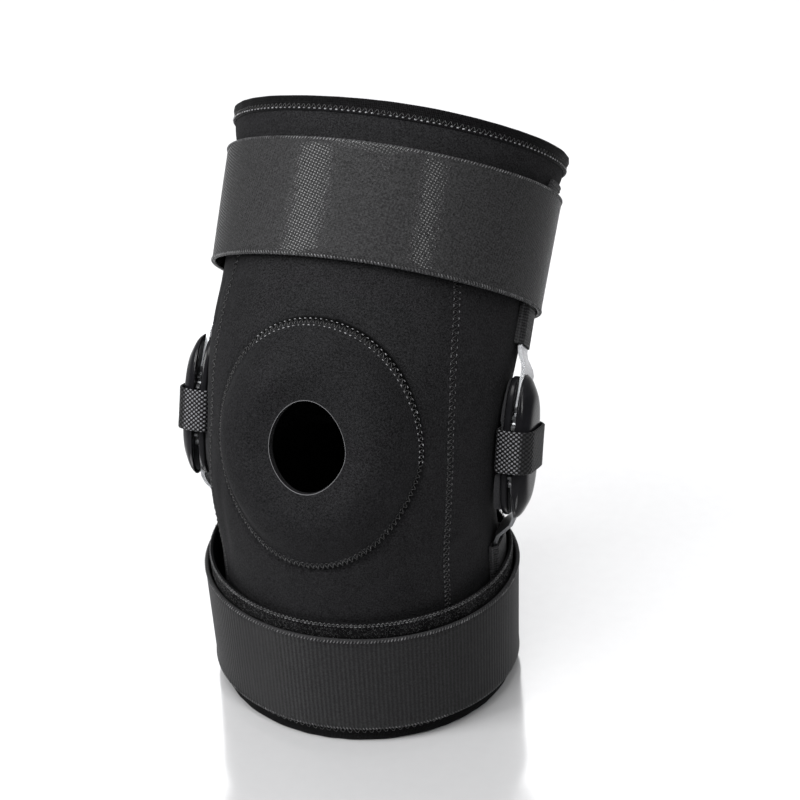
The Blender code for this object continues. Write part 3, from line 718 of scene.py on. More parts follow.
def along_line(line, pitch):
    """Points every pitch millimetres along a flat (round, up) line, and the direction at each."""
    line = np.asarray(line, float)
    step = np.linalg.norm(np.diff(line, axis=0), axis=1)
    length = np.concatenate(((0.0,), np.cumsum(step)))
    count = max(2, int(length[-1] / pitch) + 1)
    at = np.linspace(0.0, length[-1], count)
    points = np.column_stack([np.interp(at, length, line[:, k]) for k in range(2)])
    heading = np.gradient(points, axis=0)
    heading /= np.linalg.norm(heading, axis=1, keepdims=True)
    return points, heading


def zigzag(line, pitch, width):
    points, heading = along_line(line, pitch)
    side = np.where(np.arange(len(points)) % 2 == 0, 1.0, -1.0)[:, None]
    return points + np.column_stack((-heading[:, 1], heading[:, 0])) * side * 0.5 * width


def stitches(pairs, surface, way, rise=0.35, sink=0.2, steps=5, radius_mm=MEAN_RADIUS):
    """Thread paths arching over a surface between pairs of flat (round, up) points."""
    start, stop = np.asarray(pairs[0], float), np.asarray(pairs[1], float)
    t = np.linspace(0.0, 1.0, steps)
    flat = start[:, None, :] + (stop - start)[:, None, :] * t[None, :, None]
    off = -sink + (rise + sink) * np.sin(math.pi * t) ** 0.7
    off = np.broadcast_to(off, flat.shape[:2])
    points = surface(flat[..., 0] / radius_mm, flat[..., 1], off)
    return place(points.reshape(-1, 3), way).reshape(len(start), steps, 3)


def cross_stitches(line, pitch, width, surface, way, rise=0.35):
    """A zigzag row along a line."""
    points = zigzag(line, pitch, width)
    return stitches((points[:-1], points[1:]), surface, way, rise)


def running(line, pitch, share, surface, way, rise, radius_mm=MEAN_RADIUS):
    """A running stitch along a line; share is how much of each pitch lies on top."""
    points, _ = along_line(line, pitch)
    pairs = (points[:-1], points[:-1] + share * np.diff(points, axis=0))
    return stitches(pairs, surface, way, rise, radius_mm=radius_mm)


def leg_line(z):
    """A flat line right round the leg."""
    turn = np.linspace(-math.pi, math.pi, COARSE_LINE)
    return np.column_stack((turn * MEAN_RADIUS, np.full(COARSE_LINE, z)))


def dots(line, pitch, shift, surface, way, size=0.42):
    """Short stitches along a line, set off to its left by shift millimetres."""
    points, heading = along_line(line, pitch)
    points = points + np.column_stack((-heading[:, 1], heading[:, 0])) * shift
    reach = 0.5 * size * pitch * heading
    return stitches((points - reach, points + reach), surface, way, rise=0.42, sink=0.1)


# ---- Sleeve ----
# The front seams, as height and degrees from the front.
SEAM_FRONT = np.array((
    (66.0, 55.5), (81.0, 56.5), (115.0, 58.1), (147.0, 56.1), (168.0, 54.5), (188.0, 51.2),
    (220.0, 46.0),
))


def seam_angle(z):
    return np.radians(np.interp(z, SEAM_FRONT[:, 0], SEAM_FRONT[:, 1]))


def seam_distance(angle, z):
    """Millimetres to the nearest of the three seams."""
    turn = np.mod(angle + math.pi, TURN) - math.pi
    front = np.abs(np.abs(turn) - seam_angle(z)) + smooth((z - 218.0) / 3.0)
    back = math.pi - np.abs(turn)
    return np.minimum(front, back) * MEAN_RADIUS


def make_sleeve_part(name, low, high, carry, nodes, cols=320, row_step=1.5):
    rows = int((high - low) / row_step) + 1
    z = np.linspace(low, high, rows)
    angle = np.linspace(-math.pi, math.pi, cols, endpoint=False)
    z, angle = np.meshgrid(z, angle, indexing="ij")
    flat = np.stack((angle * MEAN_RADIUS, z), axis=-1).reshape(-1, 2)
    faces = grid_faces(rows, cols, closed_cols=True)
    centre = np.array((0.0, HOLE_Z))
    reach = np.linalg.norm((flat - centre) / (np.array(PAD_HOLE) + HOLE_CLEAR), axis=1)
    faces = trimmed(flat, faces, centre, reach, keep_inside=False)
    (flat,), faces = used_only([flat], faces)
    angle = flat[:, 0] / MEAN_RADIUS
    z = flat[:, 1]
    outer = on_sleeve(angle, z, 0.0)
    inner = on_sleeve(angle, z, -NEOPRENE)
    cloth = np.column_stack((flat, seam_distance(angle, z)))
    inside_cloth = np.column_stack((flat, np.full(len(flat), FAR_FROM_EDGE)))
    points, faces = shell(outer, inner, faces)
    make_piece(name, points, faces, "jersey", carry,
               cloth=np.concatenate((cloth, inside_cloth)), stands_for=nodes, sharp=60.0)


def make_seams():
    """Three cross-stitched seams; only the right front one has its pale rows on top."""
    for part, low, high in (("lower", 67.0, KNEE_Z - 0.6), ("upper", KNEE_Z + 0.6, 219.0)):
        carry = f"{part}_fabric"
        cross = []
        rows = []
        z = np.linspace(low, high, 120)
        for sign, kept in ((-1.0, cross), (1.0, rows)):
            line = np.column_stack((sign * seam_angle(z) * MEAN_RADIUS, z))
            cross.append(cross_stitches(line, 1.4, 3.2, on_sleeve, "fabric", 0.25))
            for shift in (-1.6, 1.6):
                kept.append(dots(line, DOT_PITCH, shift, on_sleeve, "fabric"))
        ends = (SLEEVE_EDGE + 6.5, high) if part == "lower" else (low, SLEEVE_TOP - 9.5)
        z = np.linspace(*ends, 200)
        line = np.column_stack((0.0 * z + math.pi * MEAN_RADIUS, z))
        cross.append(cross_stitches(line, 1.4, 3.4, on_sleeve, "fabric"))
        name = f"{part}_sleeve_seam"
        make_threads(f"{name}s", np.concatenate(cross), 0.2, "sunk_thread", carry)
        make_threads(f"{name}_rows", np.concatenate(rows), 0.26, "thread", carry)


def make_binding(name, rim_z, into, body):
    """Tape folded over a rim, with a zigzag row sewn through it."""
    cols = 240
    heights = np.array((8.0, 7.6, 6.8, 5.6, 4.4, 3.2, 2.2, 1.4, 0.8, 0.35, 0.0))
    outs = np.array((0.3, 1.05, 1.25, 1.0, 0.92, 1.1, 1.3, 1.4, 1.25, 0.8, 0.0))
    groove = rim_z + into * (SLEEVE_EDGE - GAP)
    section = [(rim_z + into * h, o) for h, o in zip(heights, outs)]
    section += [(rim_z + into * h, -NEOPRENE - o) for h, o in zip(heights[::-1], outs[::-1])]
    section += [(groove, -NEOPRENE - 0.2), (groove, 0.2)]
    angle = np.linspace(-math.pi, math.pi, cols, endpoint=False)
    points = []
    cloth = []
    for index, (z, off) in enumerate(section):
        outer = off > -NEOPRENE / 2.0
        wave = 0.12 * np.sin(angle * 31.0 + 1.7 * np.sin(angle * 7.0)) * (1.0 if outer else -1.0)
        lift = 0.3 * np.sin(2.0 * angle + 0.4) + 0.2 * np.sin(5.0 * angle)
        lift *= (1.0 - abs(z - rim_z) / BINDING_WIDTH) if name == "top_binding" else 0.0
        points.append(round_leg(*sleeve_half(z), angle, z + lift, off + wave))
        from_edge = abs(abs(z - rim_z) - BINDING_WIDTH)
        cloth.append(np.column_stack((
            angle * MEAN_RADIUS, np.full(cols, index * 0.8), np.full(cols, from_edge))))
    faces = grid_faces(len(section), cols, closed_rows=True, closed_cols=True)
    make_piece(name, np.concatenate(points), faces, "tape", body,
               cloth=np.concatenate(cloth), stands_for=(name,), sharp=70.0)
    line = leg_line(rim_z + into * 5.6)

    def surface(turn, z, off):
        return round_leg(*sleeve_half(z), turn, z, off + 0.95)

    if name == "top_binding":
        paths = cross_stitches(line, 1.35, 2.6, surface, body, 0.2)
        make_threads(f"{name}_zigzag", paths, 0.22, "sunk_thread", body)
        paths = dots(line, DOT_PITCH, -1.2, surface, body)
        make_threads(f"{name}_stitches", paths, 0.42, "rim_thread", body)
    else:
        paths = cross_stitches(line, 1.9, 2.8, surface, body)
        make_threads(f"{name}_stitches", paths, 0.24, "sunk_thread", body)


# ---- Knee pad ----
def pad_flat(t, turn):
    """Flat (round, up) point of the pad's ring; t is 0 at the hole and 1 at the outer edge."""
    across = PAD_HOLE[0] + (PAD_HALF[0] - PAD_HOLE[0]) * t
    up = PAD_HOLE[1] + (PAD_HALF[1] - PAD_HOLE[1]) * t
    return across * np.sin(turn), HOLE_Z + (PAD_Z - HOLE_Z) * t + up * np.cos(turn)


def pad_height(t, turn):
    """Height of the padding's face over the sleeve before it is blown up."""
    broad, tall = np.subtract(PAD_HALF, PAD_HOLE)
    width = np.hypot(broad * np.sin(turn), tall * np.cos(turn))
    from_rim = (1.0 - t) * width
    from_hole = t * width
    inwards = np.clip((from_rim - PAD_MARGIN) / 21.0, 0.0, 1.0)
    rise = smooth(from_rim / 9.0) * (1.0 - (1.0 - inwards) ** 2) ** 0.8
    fall = 1.0 - 0.74 * (1.0 - smooth((from_hole + 1.5) / 15.0)) ** 1.1
    return PAD_EDGE + (PAD_THICK - PAD_EDGE) * rise * fall


def pad_rows(rings, spokes):
    """The ring's closed skin, row by row: its face, rim wall, base and hole wall."""
    t = np.linspace(0.0, 1.0, rings) ** 0.95
    turn = np.linspace(0.0, TURN, spokes, endpoint=False)
    t, turn = np.meshgrid(t, turn, indexing="ij")
    s, z = pad_flat(t, turn)
    face = on_sleeve(s / MEAN_RADIUS, z, pad_height(t, turn))
    base = on_sleeve(s / MEAN_RADIUS, z, PAD_STAND_OFF)
    hole_wall = []
    rim_wall = []
    for share in (0.25, 0.5, 0.75):
        hole_wall.append(base[0] + (face[0] - base[0]) * share)
        rim_wall.append(face[-1] + (base[-1] - face[-1]) * share)
    return face, rim_wall + list(base[::-1]) + hole_wall


def blown_up(rings, spokes, most):
    """How far air pressure lifts each point of the pad's face, by cloth simulation."""
    face, others = pad_rows(rings, spokes)
    points = np.concatenate(list(face) + others)
    faces = grid_faces(rings + len(others), spokes, closed_rows=True, closed_cols=True)
    mesh = bpy.data.meshes.new("blown_pad")
    mesh.from_pydata((points * MM).tolist(), [], faces)
    tidy_mesh(mesh)
    pad = add_object("blown_pad", mesh)
    pins = pad.vertex_groups.new(name="sewn")
    held = list(range(spokes)) + list(range((rings - 1) * spokes, len(points)))
    pins.add(held, 1.0, "REPLACE")
    cloth = pad.modifiers.new("Cloth", "CLOTH")
    settings = cloth.settings
    settings.quality = 7
    settings.mass = 0.25
    settings.tension_stiffness = 22.0
    settings.compression_stiffness = 22.0
    settings.shear_stiffness = 8.0
    settings.bending_stiffness = 1.2
    settings.vertex_group_mass = "sewn"
    settings.use_pressure = True
    settings.uniform_pressure_force = 4.0
    settings.effector_weights.gravity = 0.0
    cloth.point_cache.frame_start = 1
    cloth.point_cache.frame_end = 20
    for number in range(1, 21):
        bpy.context.scene.frame_set(number)
    moved = pad.evaluated_get(bpy.context.evaluated_depsgraph_get()).to_mesh()
    after = np.array([vert.co for vert in moved.vertices]) / MM
    bpy.data.objects.remove(pad)
    bpy.context.scene.frame_set(1)
    outward = face - face.mean(axis=(0, 1)) * (1.0, 0.0, 1.0)
    outward[..., 2] = 0.0
    outward /= np.linalg.norm(outward, axis=-1, keepdims=True)
    lift = ((after[: rings * spokes].reshape(face.shape) - face) * outward).sum(axis=-1)
    return np.clip(lift, -most, most)


def make_pad():
    rings = 30
    spokes = 200
    face, others = pad_rows(rings, spokes)
    coarse = (16, 100)
    lift = blown_up(*coarse, 1.3)
    ring_at = np.linspace(0.0, coarse[0] - 1.0, rings)
    spoke_at = np.arange(spokes) * coarse[1] / spokes
    lift = np.column_stack((lift, lift[:, :1]))
    lift = np.array([np.interp(spoke_at, np.arange(coarse[1] + 1), row) for row in lift])
    lift = np.array([np.interp(ring_at, np.arange(coarse[0]), column) for column in lift.T]).T
    radial = face * (1.0, 1.0, 0.0)
    face = face + radial / np.linalg.norm(radial, axis=-1, keepdims=True) * lift[..., None]
    rows = list(face) + others
    points = np.concatenate(rows)
    from_hole = np.linalg.norm(face - face[0], axis=-1)
    edge = np.concatenate((from_hole.ravel(), np.full(len(points) - from_hole.size, FAR_FROM_EDGE)))
    edge[-spokes:] = 2.0
    faces = grid_faces(len(rows), spokes, closed_rows=True, closed_cols=True)
    for part, keep_above in (("lower", False), ("upper", True)):
        bm = bmesh.new()
        near_hole = bm.verts.layers.float.new("near_hole")
        verts = []
        for point, distance in zip(points, edge):
            vert = bm.verts.new(point)
            vert[near_hole] = distance
            verts.append(vert)
        for quad in faces:
            bm.faces.new([verts[i] for i in quad])
        bmesh.ops.bisect_plane(
            bm, geom=bm.verts[:] + bm.edges[:] + bm.faces[:], dist=1e-5,
            plane_co=(0.0, 0.0, KNEE_Z), plane_no=(0.0, 0.0, 1.0),
            clear_inner=keep_above, clear_outer=not keep_above,
        )
        open_edges = [item for item in bm.edges if item.is_boundary]
        bmesh.ops.holes_fill(bm, edges=open_edges)
        bm.verts.ensure_lookup_table()
        straight = np.array([vert.co for vert in bm.verts])
        distance = np.array([vert[near_hole] for vert in bm.verts])
        mesh = bpy.data.meshes.new(f"{part}_knee_pad")
        for vert, point in zip(bm.verts, place(straight, "fabric")):
            vert.co = point
        bmesh.ops.recalc_face_normals(bm, faces=bm.faces[:])
        bm.to_mesh(mesh)
        bm.free()
        round_ = np.arctan2(straight[:, 0], -straight[:, 1]) * MEAN_RADIUS
        layer = mesh.attributes.new("cloth", "FLOAT_VECTOR", "POINT")
        marks = np.column_stack((round_, straight[:, 2], distance)).astype(np.float32)
        layer.data.foreach_set("vector", marks.ravel())
        piece = finish_piece(mesh.name, mesh, "pad", f"{part}_fabric",
                             ("patella_pad",), 62.0)


def make_pad_stitches():
    def surface(angle, height, off):
        return on_sleeve(angle, height, off + PAD_EDGE - 0.1)

    for part, above in (("lower", False), ("upper", True)):
        carry = f"{part}_fabric"
        turn = np.linspace(-0.6, 0.6, 1200) * math.pi + (0.0 if above else math.pi)
        line = np.column_stack(pad_flat(0.955, turn))
        line = line[(line[:, 1] > KNEE_Z + 0.6) if above else (line[:, 1] < KNEE_Z - 0.6)]
        pale = line[line[:, 0] > -PALE_FROM] if above else line[:0]
        dark = line[line[:, 0] <= -PALE_FROM] if above else line
        sunk = [cross_stitches(line, 1.3, 2.2, surface, "fabric", 0.2)]
        sunk += [dots(dark, 2.6, shift, surface, "fabric") for shift in (-1.1, 1.1)]
        make_threads(f"{part}_pad_zigzag", np.concatenate(sunk), 0.22, "sunk_thread", carry)
        if above:
            rows = [dots(pale, 2.6, shift, surface, "fabric") for shift in (-1.1, 1.1)]
            rows = np.concatenate(rows)
            make_threads(f"{part}_pad_stitches", rows, 0.3, "rim_thread", carry)


# ---- Straps, strap ends, loop band ----
def make_band(name, span, rims, thick, look, body, cols=280, bulge=0.15):
    half_height = 0.5 * (span[1] - span[0])
    middle = 0.5 * (span[0] + span[1])
    section = strip_section(half_height, thick, bulge)
    angle = np.linspace(-math.pi, math.pi, cols, endpoint=False)
    surface = on_rims(span, rims)
    points = []
    cloth = []
    for across, out in section:
        off = out - thick + 0.0 * angle
        near_edge = half_height - abs(across)
        wave = 0.108 * np.sin(angle * 9.0 + across * 0.1) * math.exp(-near_edge / 6.0)
        wave *= 1.0 if out > 0.3 * thick else 0.3
        height = middle + across + 0.25 * np.sin(angle * 4.0 + 1.0) * math.exp(-near_edge / 3.0)
        points.append(surface(angle, height, off + wave))
        cloth.append(np.column_stack((
            angle * rims[0][0], np.full(cols, across), np.full(cols, near_edge))))
    faces = grid_faces(len(section), cols, closed_rows=True, closed_cols=True)
    make_piece(name, np.concatenate(points), faces, look, body,
               cloth=np.concatenate(cloth), stands_for=(name,), sharp=60.0)


def make_selvedges(name, span, rims, body, look="pale_thread", pitch=1.7, inset=1.0):
    """Threads wrapped over both edges of a strap."""
    surface = on_rims(span, rims)
    paths = []
    for z, into in ((span[0], 1.0), (span[1], -1.0)):
        count = int(TURN * rims[0][0] / pitch)
        turn = np.linspace(-math.pi, math.pi, count, endpoint=False) * MEAN_RADIUS
        start = np.column_stack((turn, np.full(count, z + into * (inset + 0.9))))
        stop = np.column_stack((turn + 0.5 * pitch, np.full(count, z + into * 0.25)))
        paths.append(stitches((start, stop), surface, body, rise=0.3, sink=0.15, steps=4))
    make_threads(f"{name}_selvedges", np.concatenate(paths), 0.24, look, body, sides=4)


def make_tab(name, strap, rims, hand):
    middle = 0.5 * (strap[0] + strap[1])
    half = (rims[1][0] + GAP, rims[1][1] + GAP)
    steps = 44
    share = np.linspace(0.0, 1.0, steps)
    angle = hand * (TAB_ARC[0] + (TAB_ARC[1] - TAB_ARC[0]) * share)
    past = np.maximum(0.0, (share - 1.0 + TAB_NOSE) / TAB_NOSE)
    heights = TAB_HALF_HEIGHT * np.sqrt(1.0 - TAB_NARROWING * past * past)
    section = strip_section(TAB_HALF_HEIGHT, TAB_THICK, 0.1, 13)
    body = STRAP_BODY[name]
    points = []
    cloth = []
    for a, height in zip(angle, heights):
        normal = np.array((math.sin(a) / half[0], -math.cos(a) / half[1]))
        normal /= np.linalg.norm(normal)
        centre = np.array((half[0] * math.sin(a), -half[1] * math.cos(a)))
        for across, out in section:
            xy = centre + normal * out
            points.append((xy[0], xy[1], middle + across * height / TAB_HALF_HEIGHT))
            cloth.append((a * half[0], across, min(TAB_HALF_HEIGHT - abs(across), 60.0)))
    count = len(section)
    faces = grid_faces(steps, count, closed_cols=True) + end_caps(steps, count)
    make_piece(name, points, faces, "herringbone", name, way=body, cloth=cloth,
               stands_for=(name,), sharp=60.0)
    line = []
    inset = 2.2
    for sign, order in ((-1.0, range(1, steps - 2)), (1.0, range(steps - 3, 0, -1))):
        for i in order:
            line.append((angle[i] * half[0], middle + sign * (heights[i] - inset)))

    def surface(a, z, off):
        scale = np.hypot(np.sin(a) / half[0], np.cos(a) / half[1])
        nx = np.sin(a) / half[0] / scale
        ny = -np.cos(a) / half[1] / scale
        out = TAB_THICK + off
        x = half[0] * np.sin(a) + nx * out
        return np.stack((x, -half[1] * np.cos(a) + ny * out, z + 0.0 * off), axis=-1)

    paths = running(line, 2.4, 0.7, surface, body, 0.25, half[0])
    make_threads(f"{name}_stitches", paths, 0.22, "thread", name)


def make_fibres():
    """Loose loops of the pile, standing off the calf band's face."""
    rng = np.random.default_rng(7)
    count = 5200
    angle = rng.uniform(-math.pi, math.pi, count)
    many = count * 3 // 4
    z = np.concatenate((rng.uniform(66.4, 74.6, many), rng.uniform(8.8, 12.0, count - many)))
    lean = rng.uniform(0.0, TURN, count)
    reach = rng.uniform(0.5, 1.5, count)
    tall = rng.uniform(0.25, 0.8, count)
    surface = on_rims(LOOP_BAND, LOOP_BAND_RIM)
    t = np.linspace(0.0, 1.0, 4)
    up = z[:, None] + (np.sin(lean) * reach)[:, None] * t
    round_ = angle[:, None] + (np.cos(lean) * reach)[:, None] * t / MEAN_RADIUS
    off = tall[:, None] * np.sin(math.pi * (0.15 + 0.75 * t))[None, :] - 0.1
    points = surface(round_, up, off)
    paths = place(points.reshape(-1, 3), "shin").reshape(count, 4, 3)
    make_threads("calf_loop_fibres", paths, 0.075, "fibre", "shin", sides=3)


def make_band_edge():
    """The sewn upper edge of the calf's loop band."""
    surface = on_rims(LOOP_BAND, LOOP_BAND_RIM)
    run = running(leg_line(73.6), 2.1, 0.75, surface, "shin", 0.35)
    wrap = cross_stitches(leg_line(74.6), 1.1, 0.9, surface, "shin", 0.25)
    make_threads("calf_loop_edge_run", run, 0.26, "pale_thread", "shin")
    make_threads("calf_loop_edge_wrap", wrap, 0.16, "thread", "shin", sides=4)


# ---- Hinges, drawn for the +X side ----
def oval(half, count=96, power=ROUNDEST):
    t = np.linspace(0.0, TURN, count, endpoint=False)
    c = np.cos(t)
    s = np.sin(t)
    y = PIVOT_Y + half[0] * np.sign(c) * np.abs(c) ** (2.0 / power)
    z = KNEE_Z + half[1] * np.sign(s) * np.abs(s) ** (2.0 / power)
    return np.column_stack((y, z))


def circle(centre_z, radius, count=28):
    t = np.linspace(0.0, TURN, count, endpoint=False)
    return np.column_stack((PIVOT_Y + radius * np.cos(t), centre_z + radius * np.sin(t)))


def make_plate(name, outline, holes, span, look, carry, flip_x, chamfer=0.35):
    """A flat plate with holes and softened edges."""
    bm = bmesh.new()
    edges = []
    for loop in [outline] + holes:
        verts = [bm.verts.new((span[0], y, z)) for y, z in loop]
        for i, vert in enumerate(verts):
            edges.append(bm.edges.new((vert, verts[(i + 1) % len(verts)])))
    filled = bmesh.ops.triangle_fill(bm, use_beauty=True, edges=edges)
    faces = [item for item in filled["geom"] if isinstance(item, bmesh.types.BMFace)]
    grown = bmesh.ops.extrude_face_region(bm, geom=faces)
    for item in grown["geom"]:
        if isinstance(item, bmesh.types.BMVert):
            item.co.x = span[1]
    bmesh.ops.recalc_face_normals(bm, faces=bm.faces[:])
    rims = [edge for edge in bm.edges if edge.calc_face_angle(0.0) > 1.2]
    bmesh.ops.bevel(bm, geom=rims, offset=chamfer, segments=3, affect="EDGES", profile=0.5)
    bm.verts.index_update()
    points = np.array([vert.co for vert in bm.verts])
    polygons = [[vert.index for vert in face.verts] for face in bm.faces]
    bm.free()
    make_piece(name, points, polygons, look, carry,
               stands_for=(name,), sharp=28.0, flip_x=flip_x)


def make_cover(side, body, flip_x):
    """Domed shell over the outer plate, with a rolled rim and one step round its crown."""
    rise = COVER_CROWN - COVER_SKIRT
    outer = (PLATE_HALF[0] + COVER_WALL, PLATE_HALF[1] + COVER_WALL)
    profile = (
        (0.985, 0.0), (1.0, 0.03), (1.0, 0.08), (0.993, 0.12), (0.985, 0.14), (0.983, 0.2),
        (0.967, 0.28),
        (0.945, 0.38), (0.91, 0.49), (0.87, 0.59), (0.83, 0.69), (0.79, 0.78), (0.75, 0.86),
        (0.71, 0.915),
        (0.66, 0.95), (0.58, 0.975), (0.48, 0.99), (0.32, 0.997), (0.16, 1.0), (0.05, 1.0),
    )
    loops = []
    for size, up in profile:
        ring = oval((outer[0] * size, outer[1] * size))
        loops.append(np.column_stack((np.full(len(ring), COVER_SKIRT + rise * up), ring)))
    inner = (PLATE_HALF[0] + GAP, PLATE_HALF[1] + GAP)
    for size, up in ((0.4, 1.0), (0.68, 0.95), (0.87, 0.58), (0.985, 0.2), (1.0, 0.0)):
        ring = oval((inner[0] * size, inner[1] * size))
        x = COVER_SKIRT + (rise - COVER_WALL) * up
        loops.append(np.column_stack((np.full(len(ring), x), ring)))
    count = len(profile)
    cols = len(loops[0])
    faces = grid_faces(count, cols, closed_cols=True)
    faces += grid_faces(len(loops) - count, cols, closed_cols=True, start=count * cols)
    faces.append([(count - 1) * cols + i for i in range(cols)])
    faces.append([count * cols + i for i in range(cols)][::-1])
    last = (len(loops) - 1) * cols
    for i in range(cols):
        j = (i + 1) % cols
        faces.append([i, j, last + j, last + i])
    make_piece(f"{side}_hinge_cover", np.concatenate(loops), faces, "cover", body,
               stands_for=(f"{side}_hinge_cover",), sharp=40.0, flip_x=flip_x)


def make_condyle_pad(side, body, flip_x):
    """Felt-faced wedge between the hinge and the knee, with a recess round each rivet."""
    y = np.linspace(PIVOT_Y - CONDYLE_HALF[0] - 1.0, PIVOT_Y + CONDYLE_HALF[0] + 1.0, 31)
    z = np.linspace(KNEE_Z - CONDYLE_HALF[1] - 1.0, KNEE_Z + CONDYLE_HALF[1] + 1.0, 73)
    y, z = np.meshgrid(y, z, indexing="ij")
    flat = np.stack((y, z), axis=-1).reshape(-1, 2)
    faces = grid_faces(31, 73)
    middle = np.array((PIVOT_Y, KNEE_Z))

    def rim(points):
        reach = np.abs((points - middle) / CONDYLE_HALF) ** ROUNDEST
        return reach.sum(axis=1) ** (1.0 / ROUNDEST)

    faces = trimmed(flat, faces, middle, rim(flat), keep_inside=True)
    recess = PIN_HEAD + 2.0 * GAP
    for pin in PIN_ZS:
        centre = np.array((PIVOT_Y, pin))
        reach = np.linalg.norm(flat - centre, axis=1) / recess
        faces = trimmed(flat, faces, centre, reach, keep_inside=False)
    (flat,), faces = used_only([flat], faces)
    depth = CONDYLE_EDGE + CONDYLE_WEDGE * (flat[:, 0] - PIVOT_Y + CONDYLE_HALF[0])
    room = CONDYLE_OUT - 1.0 - sleeve_half(flat[:, 1])[0]
    beside_loop = smooth((LOOP_HALF_HEIGHT + 3.5 - np.abs(flat[:, 1] - KNEE_Z)) / 2.0)
    beside_loop = beside_loop * smooth((PIVOT_Y - 1.5 - flat[:, 0]) / 2.0)
    depth = np.maximum(depth, room + (1.2 - room) * beside_loop)
    crown = 0.75 + 0.25 * smooth((1.0 - rim(flat)) / 0.22)
    outer = np.column_stack((np.full(len(flat), CONDYLE_OUT), flat))
    inner = np.column_stack((CONDYLE_OUT - depth * crown, flat))
    points, faces = shell(outer, inner, faces)
    cloth = np.column_stack((np.tile(flat, (2, 1)), np.full(len(points), FAR_FROM_EDGE)))
    piece = make_piece(f"{side}_condyle_pad", points, faces, "felt", body, cloth=cloth,
                       stands_for=(f"{side}_condyle_pad",), sharp=50.0, flip_x=flip_x)


def catmull(points, steps):
    """A Catmull-Rom curve through points."""
    points = np.asarray(points, float)
    padded = np.concatenate((points[:1], points, points[-1:]))
    path = []
    for p, q, r, s in zip(padded, padded[1:], padded[2:], padded[3:]):
        for t in np.arange(steps) / steps:
            curve = (2 * p - 5 * q + 4 * r - s) * t * t + (3 * q - p - 3 * r + s) * t ** 3
            path.append(0.5 * (2 * q + (r - p) * t + curve))
    path.append(points[-1])
    return np.array(path)


def make_keeper_loop(side, body, flip_x):
    """Webbing that leaves from under the hinge, passes over its cover and is sewn behind."""
    a, b = sleeve_half(KNEE_Z)
    a = float(a) + 2.0 * GAP
    b = float(b) + 2.0 * GAP

    def seat(y):
        return a * math.sqrt(1.0 - (y / b) ** 2)

    front = PIVOT_Y - PLATE_HALF[0] - COVER_WALL
    back = PIVOT_Y + PLATE_HALF[0] + COVER_WALL
    crown = COVER_CROWN + 0.8
    corners = [
        (78.4, front + 8.0),
        (78.4, front + 3.0),
        (78.7, front + 0.2),
        (80.8, front - 1.3),
        (84.5, front - 1.5),
        (88.5, front - 1.1),
        (crown - 2.4, front + 0.6),
        (crown - 0.6, front + 3.4),
        (crown, front + 7.0),
        (crown, back - 7.0),
        (crown - 0.6, back - 3.4),
        (crown - 3.6, back - 0.2),
        (86.0, back + 1.0),
        (seat(back + 2.2) + 3.0, back + 1.8),
        (seat(back + 4.2) + 0.4, back + 4.2),
        (seat(back + 8.0), back + 8.0),
        (seat(back + 13.0), back + 13.0),
    ]
    path = catmull(corners, 6)
    along = np.gradient(path, axis=0)
    along /= np.linalg.norm(along, axis=1, keepdims=True)
    normal = np.column_stack((along[:, 1], -along[:, 0]))
    length = np.concatenate(((0.0,), np.cumsum(np.linalg.norm(np.diff(path, axis=0), axis=1))))
    section = strip_section(LOOP_HALF_HEIGHT, LOOP_THICK, 0.12, 11, 3)
    points = []
    cloth = []
    for (x, y), (nx, ny), at in zip(path, normal, length):
        for across, out in section:
            points.append((x + nx * out, y + ny * out, KNEE_Z + across))
            cloth.append((at, across, LOOP_HALF_HEIGHT - abs(across)))
    count = len(section)
    faces = grid_faces(len(path), count, closed_cols=True) + end_caps(len(path), count)
    make_piece(f"{side}_keeper_loop", points, faces, "loop", body, cloth=cloth,
               stands_for=(f"{side}_keeper_loop",), sharp=50.0, flip_x=flip_x)
    make_loop_stitches(side, body, flip_x, path, normal, length)


def make_loop_stitches(side, body, flip_x, path, normal, length):
    """A box of stitches with one diagonal across it at the loop's sewn end."""
    def at(s, z, off):
        x, y = (np.interp(s, length, path[:, k])
                + np.interp(s, length, normal[:, k]) * (LOOP_THICK + off) for k in range(2))
        return np.stack((-x if flip_x else x, y, z + 0.0 * off), axis=-1)

    paths = []
    top = KNEE_Z + LOOP_HALF_HEIGHT - 1.8
    low = KNEE_Z - LOOP_HALF_HEIGHT + 1.8
    near, far = length[-1] - 8.4, length[-1] - 1.4
    box = ((near, low), (far, low), (far, top), (near, top), (near, low), (far, top))
    for line in zip(box, box[1:]):
        paths.append(running(line, 2.0, 0.72, at, "hinge", 0.22, 1.0))
    make_threads(f"{side}_keeper_loop_stitches", np.concatenate(paths), 0.2, "thread", body)


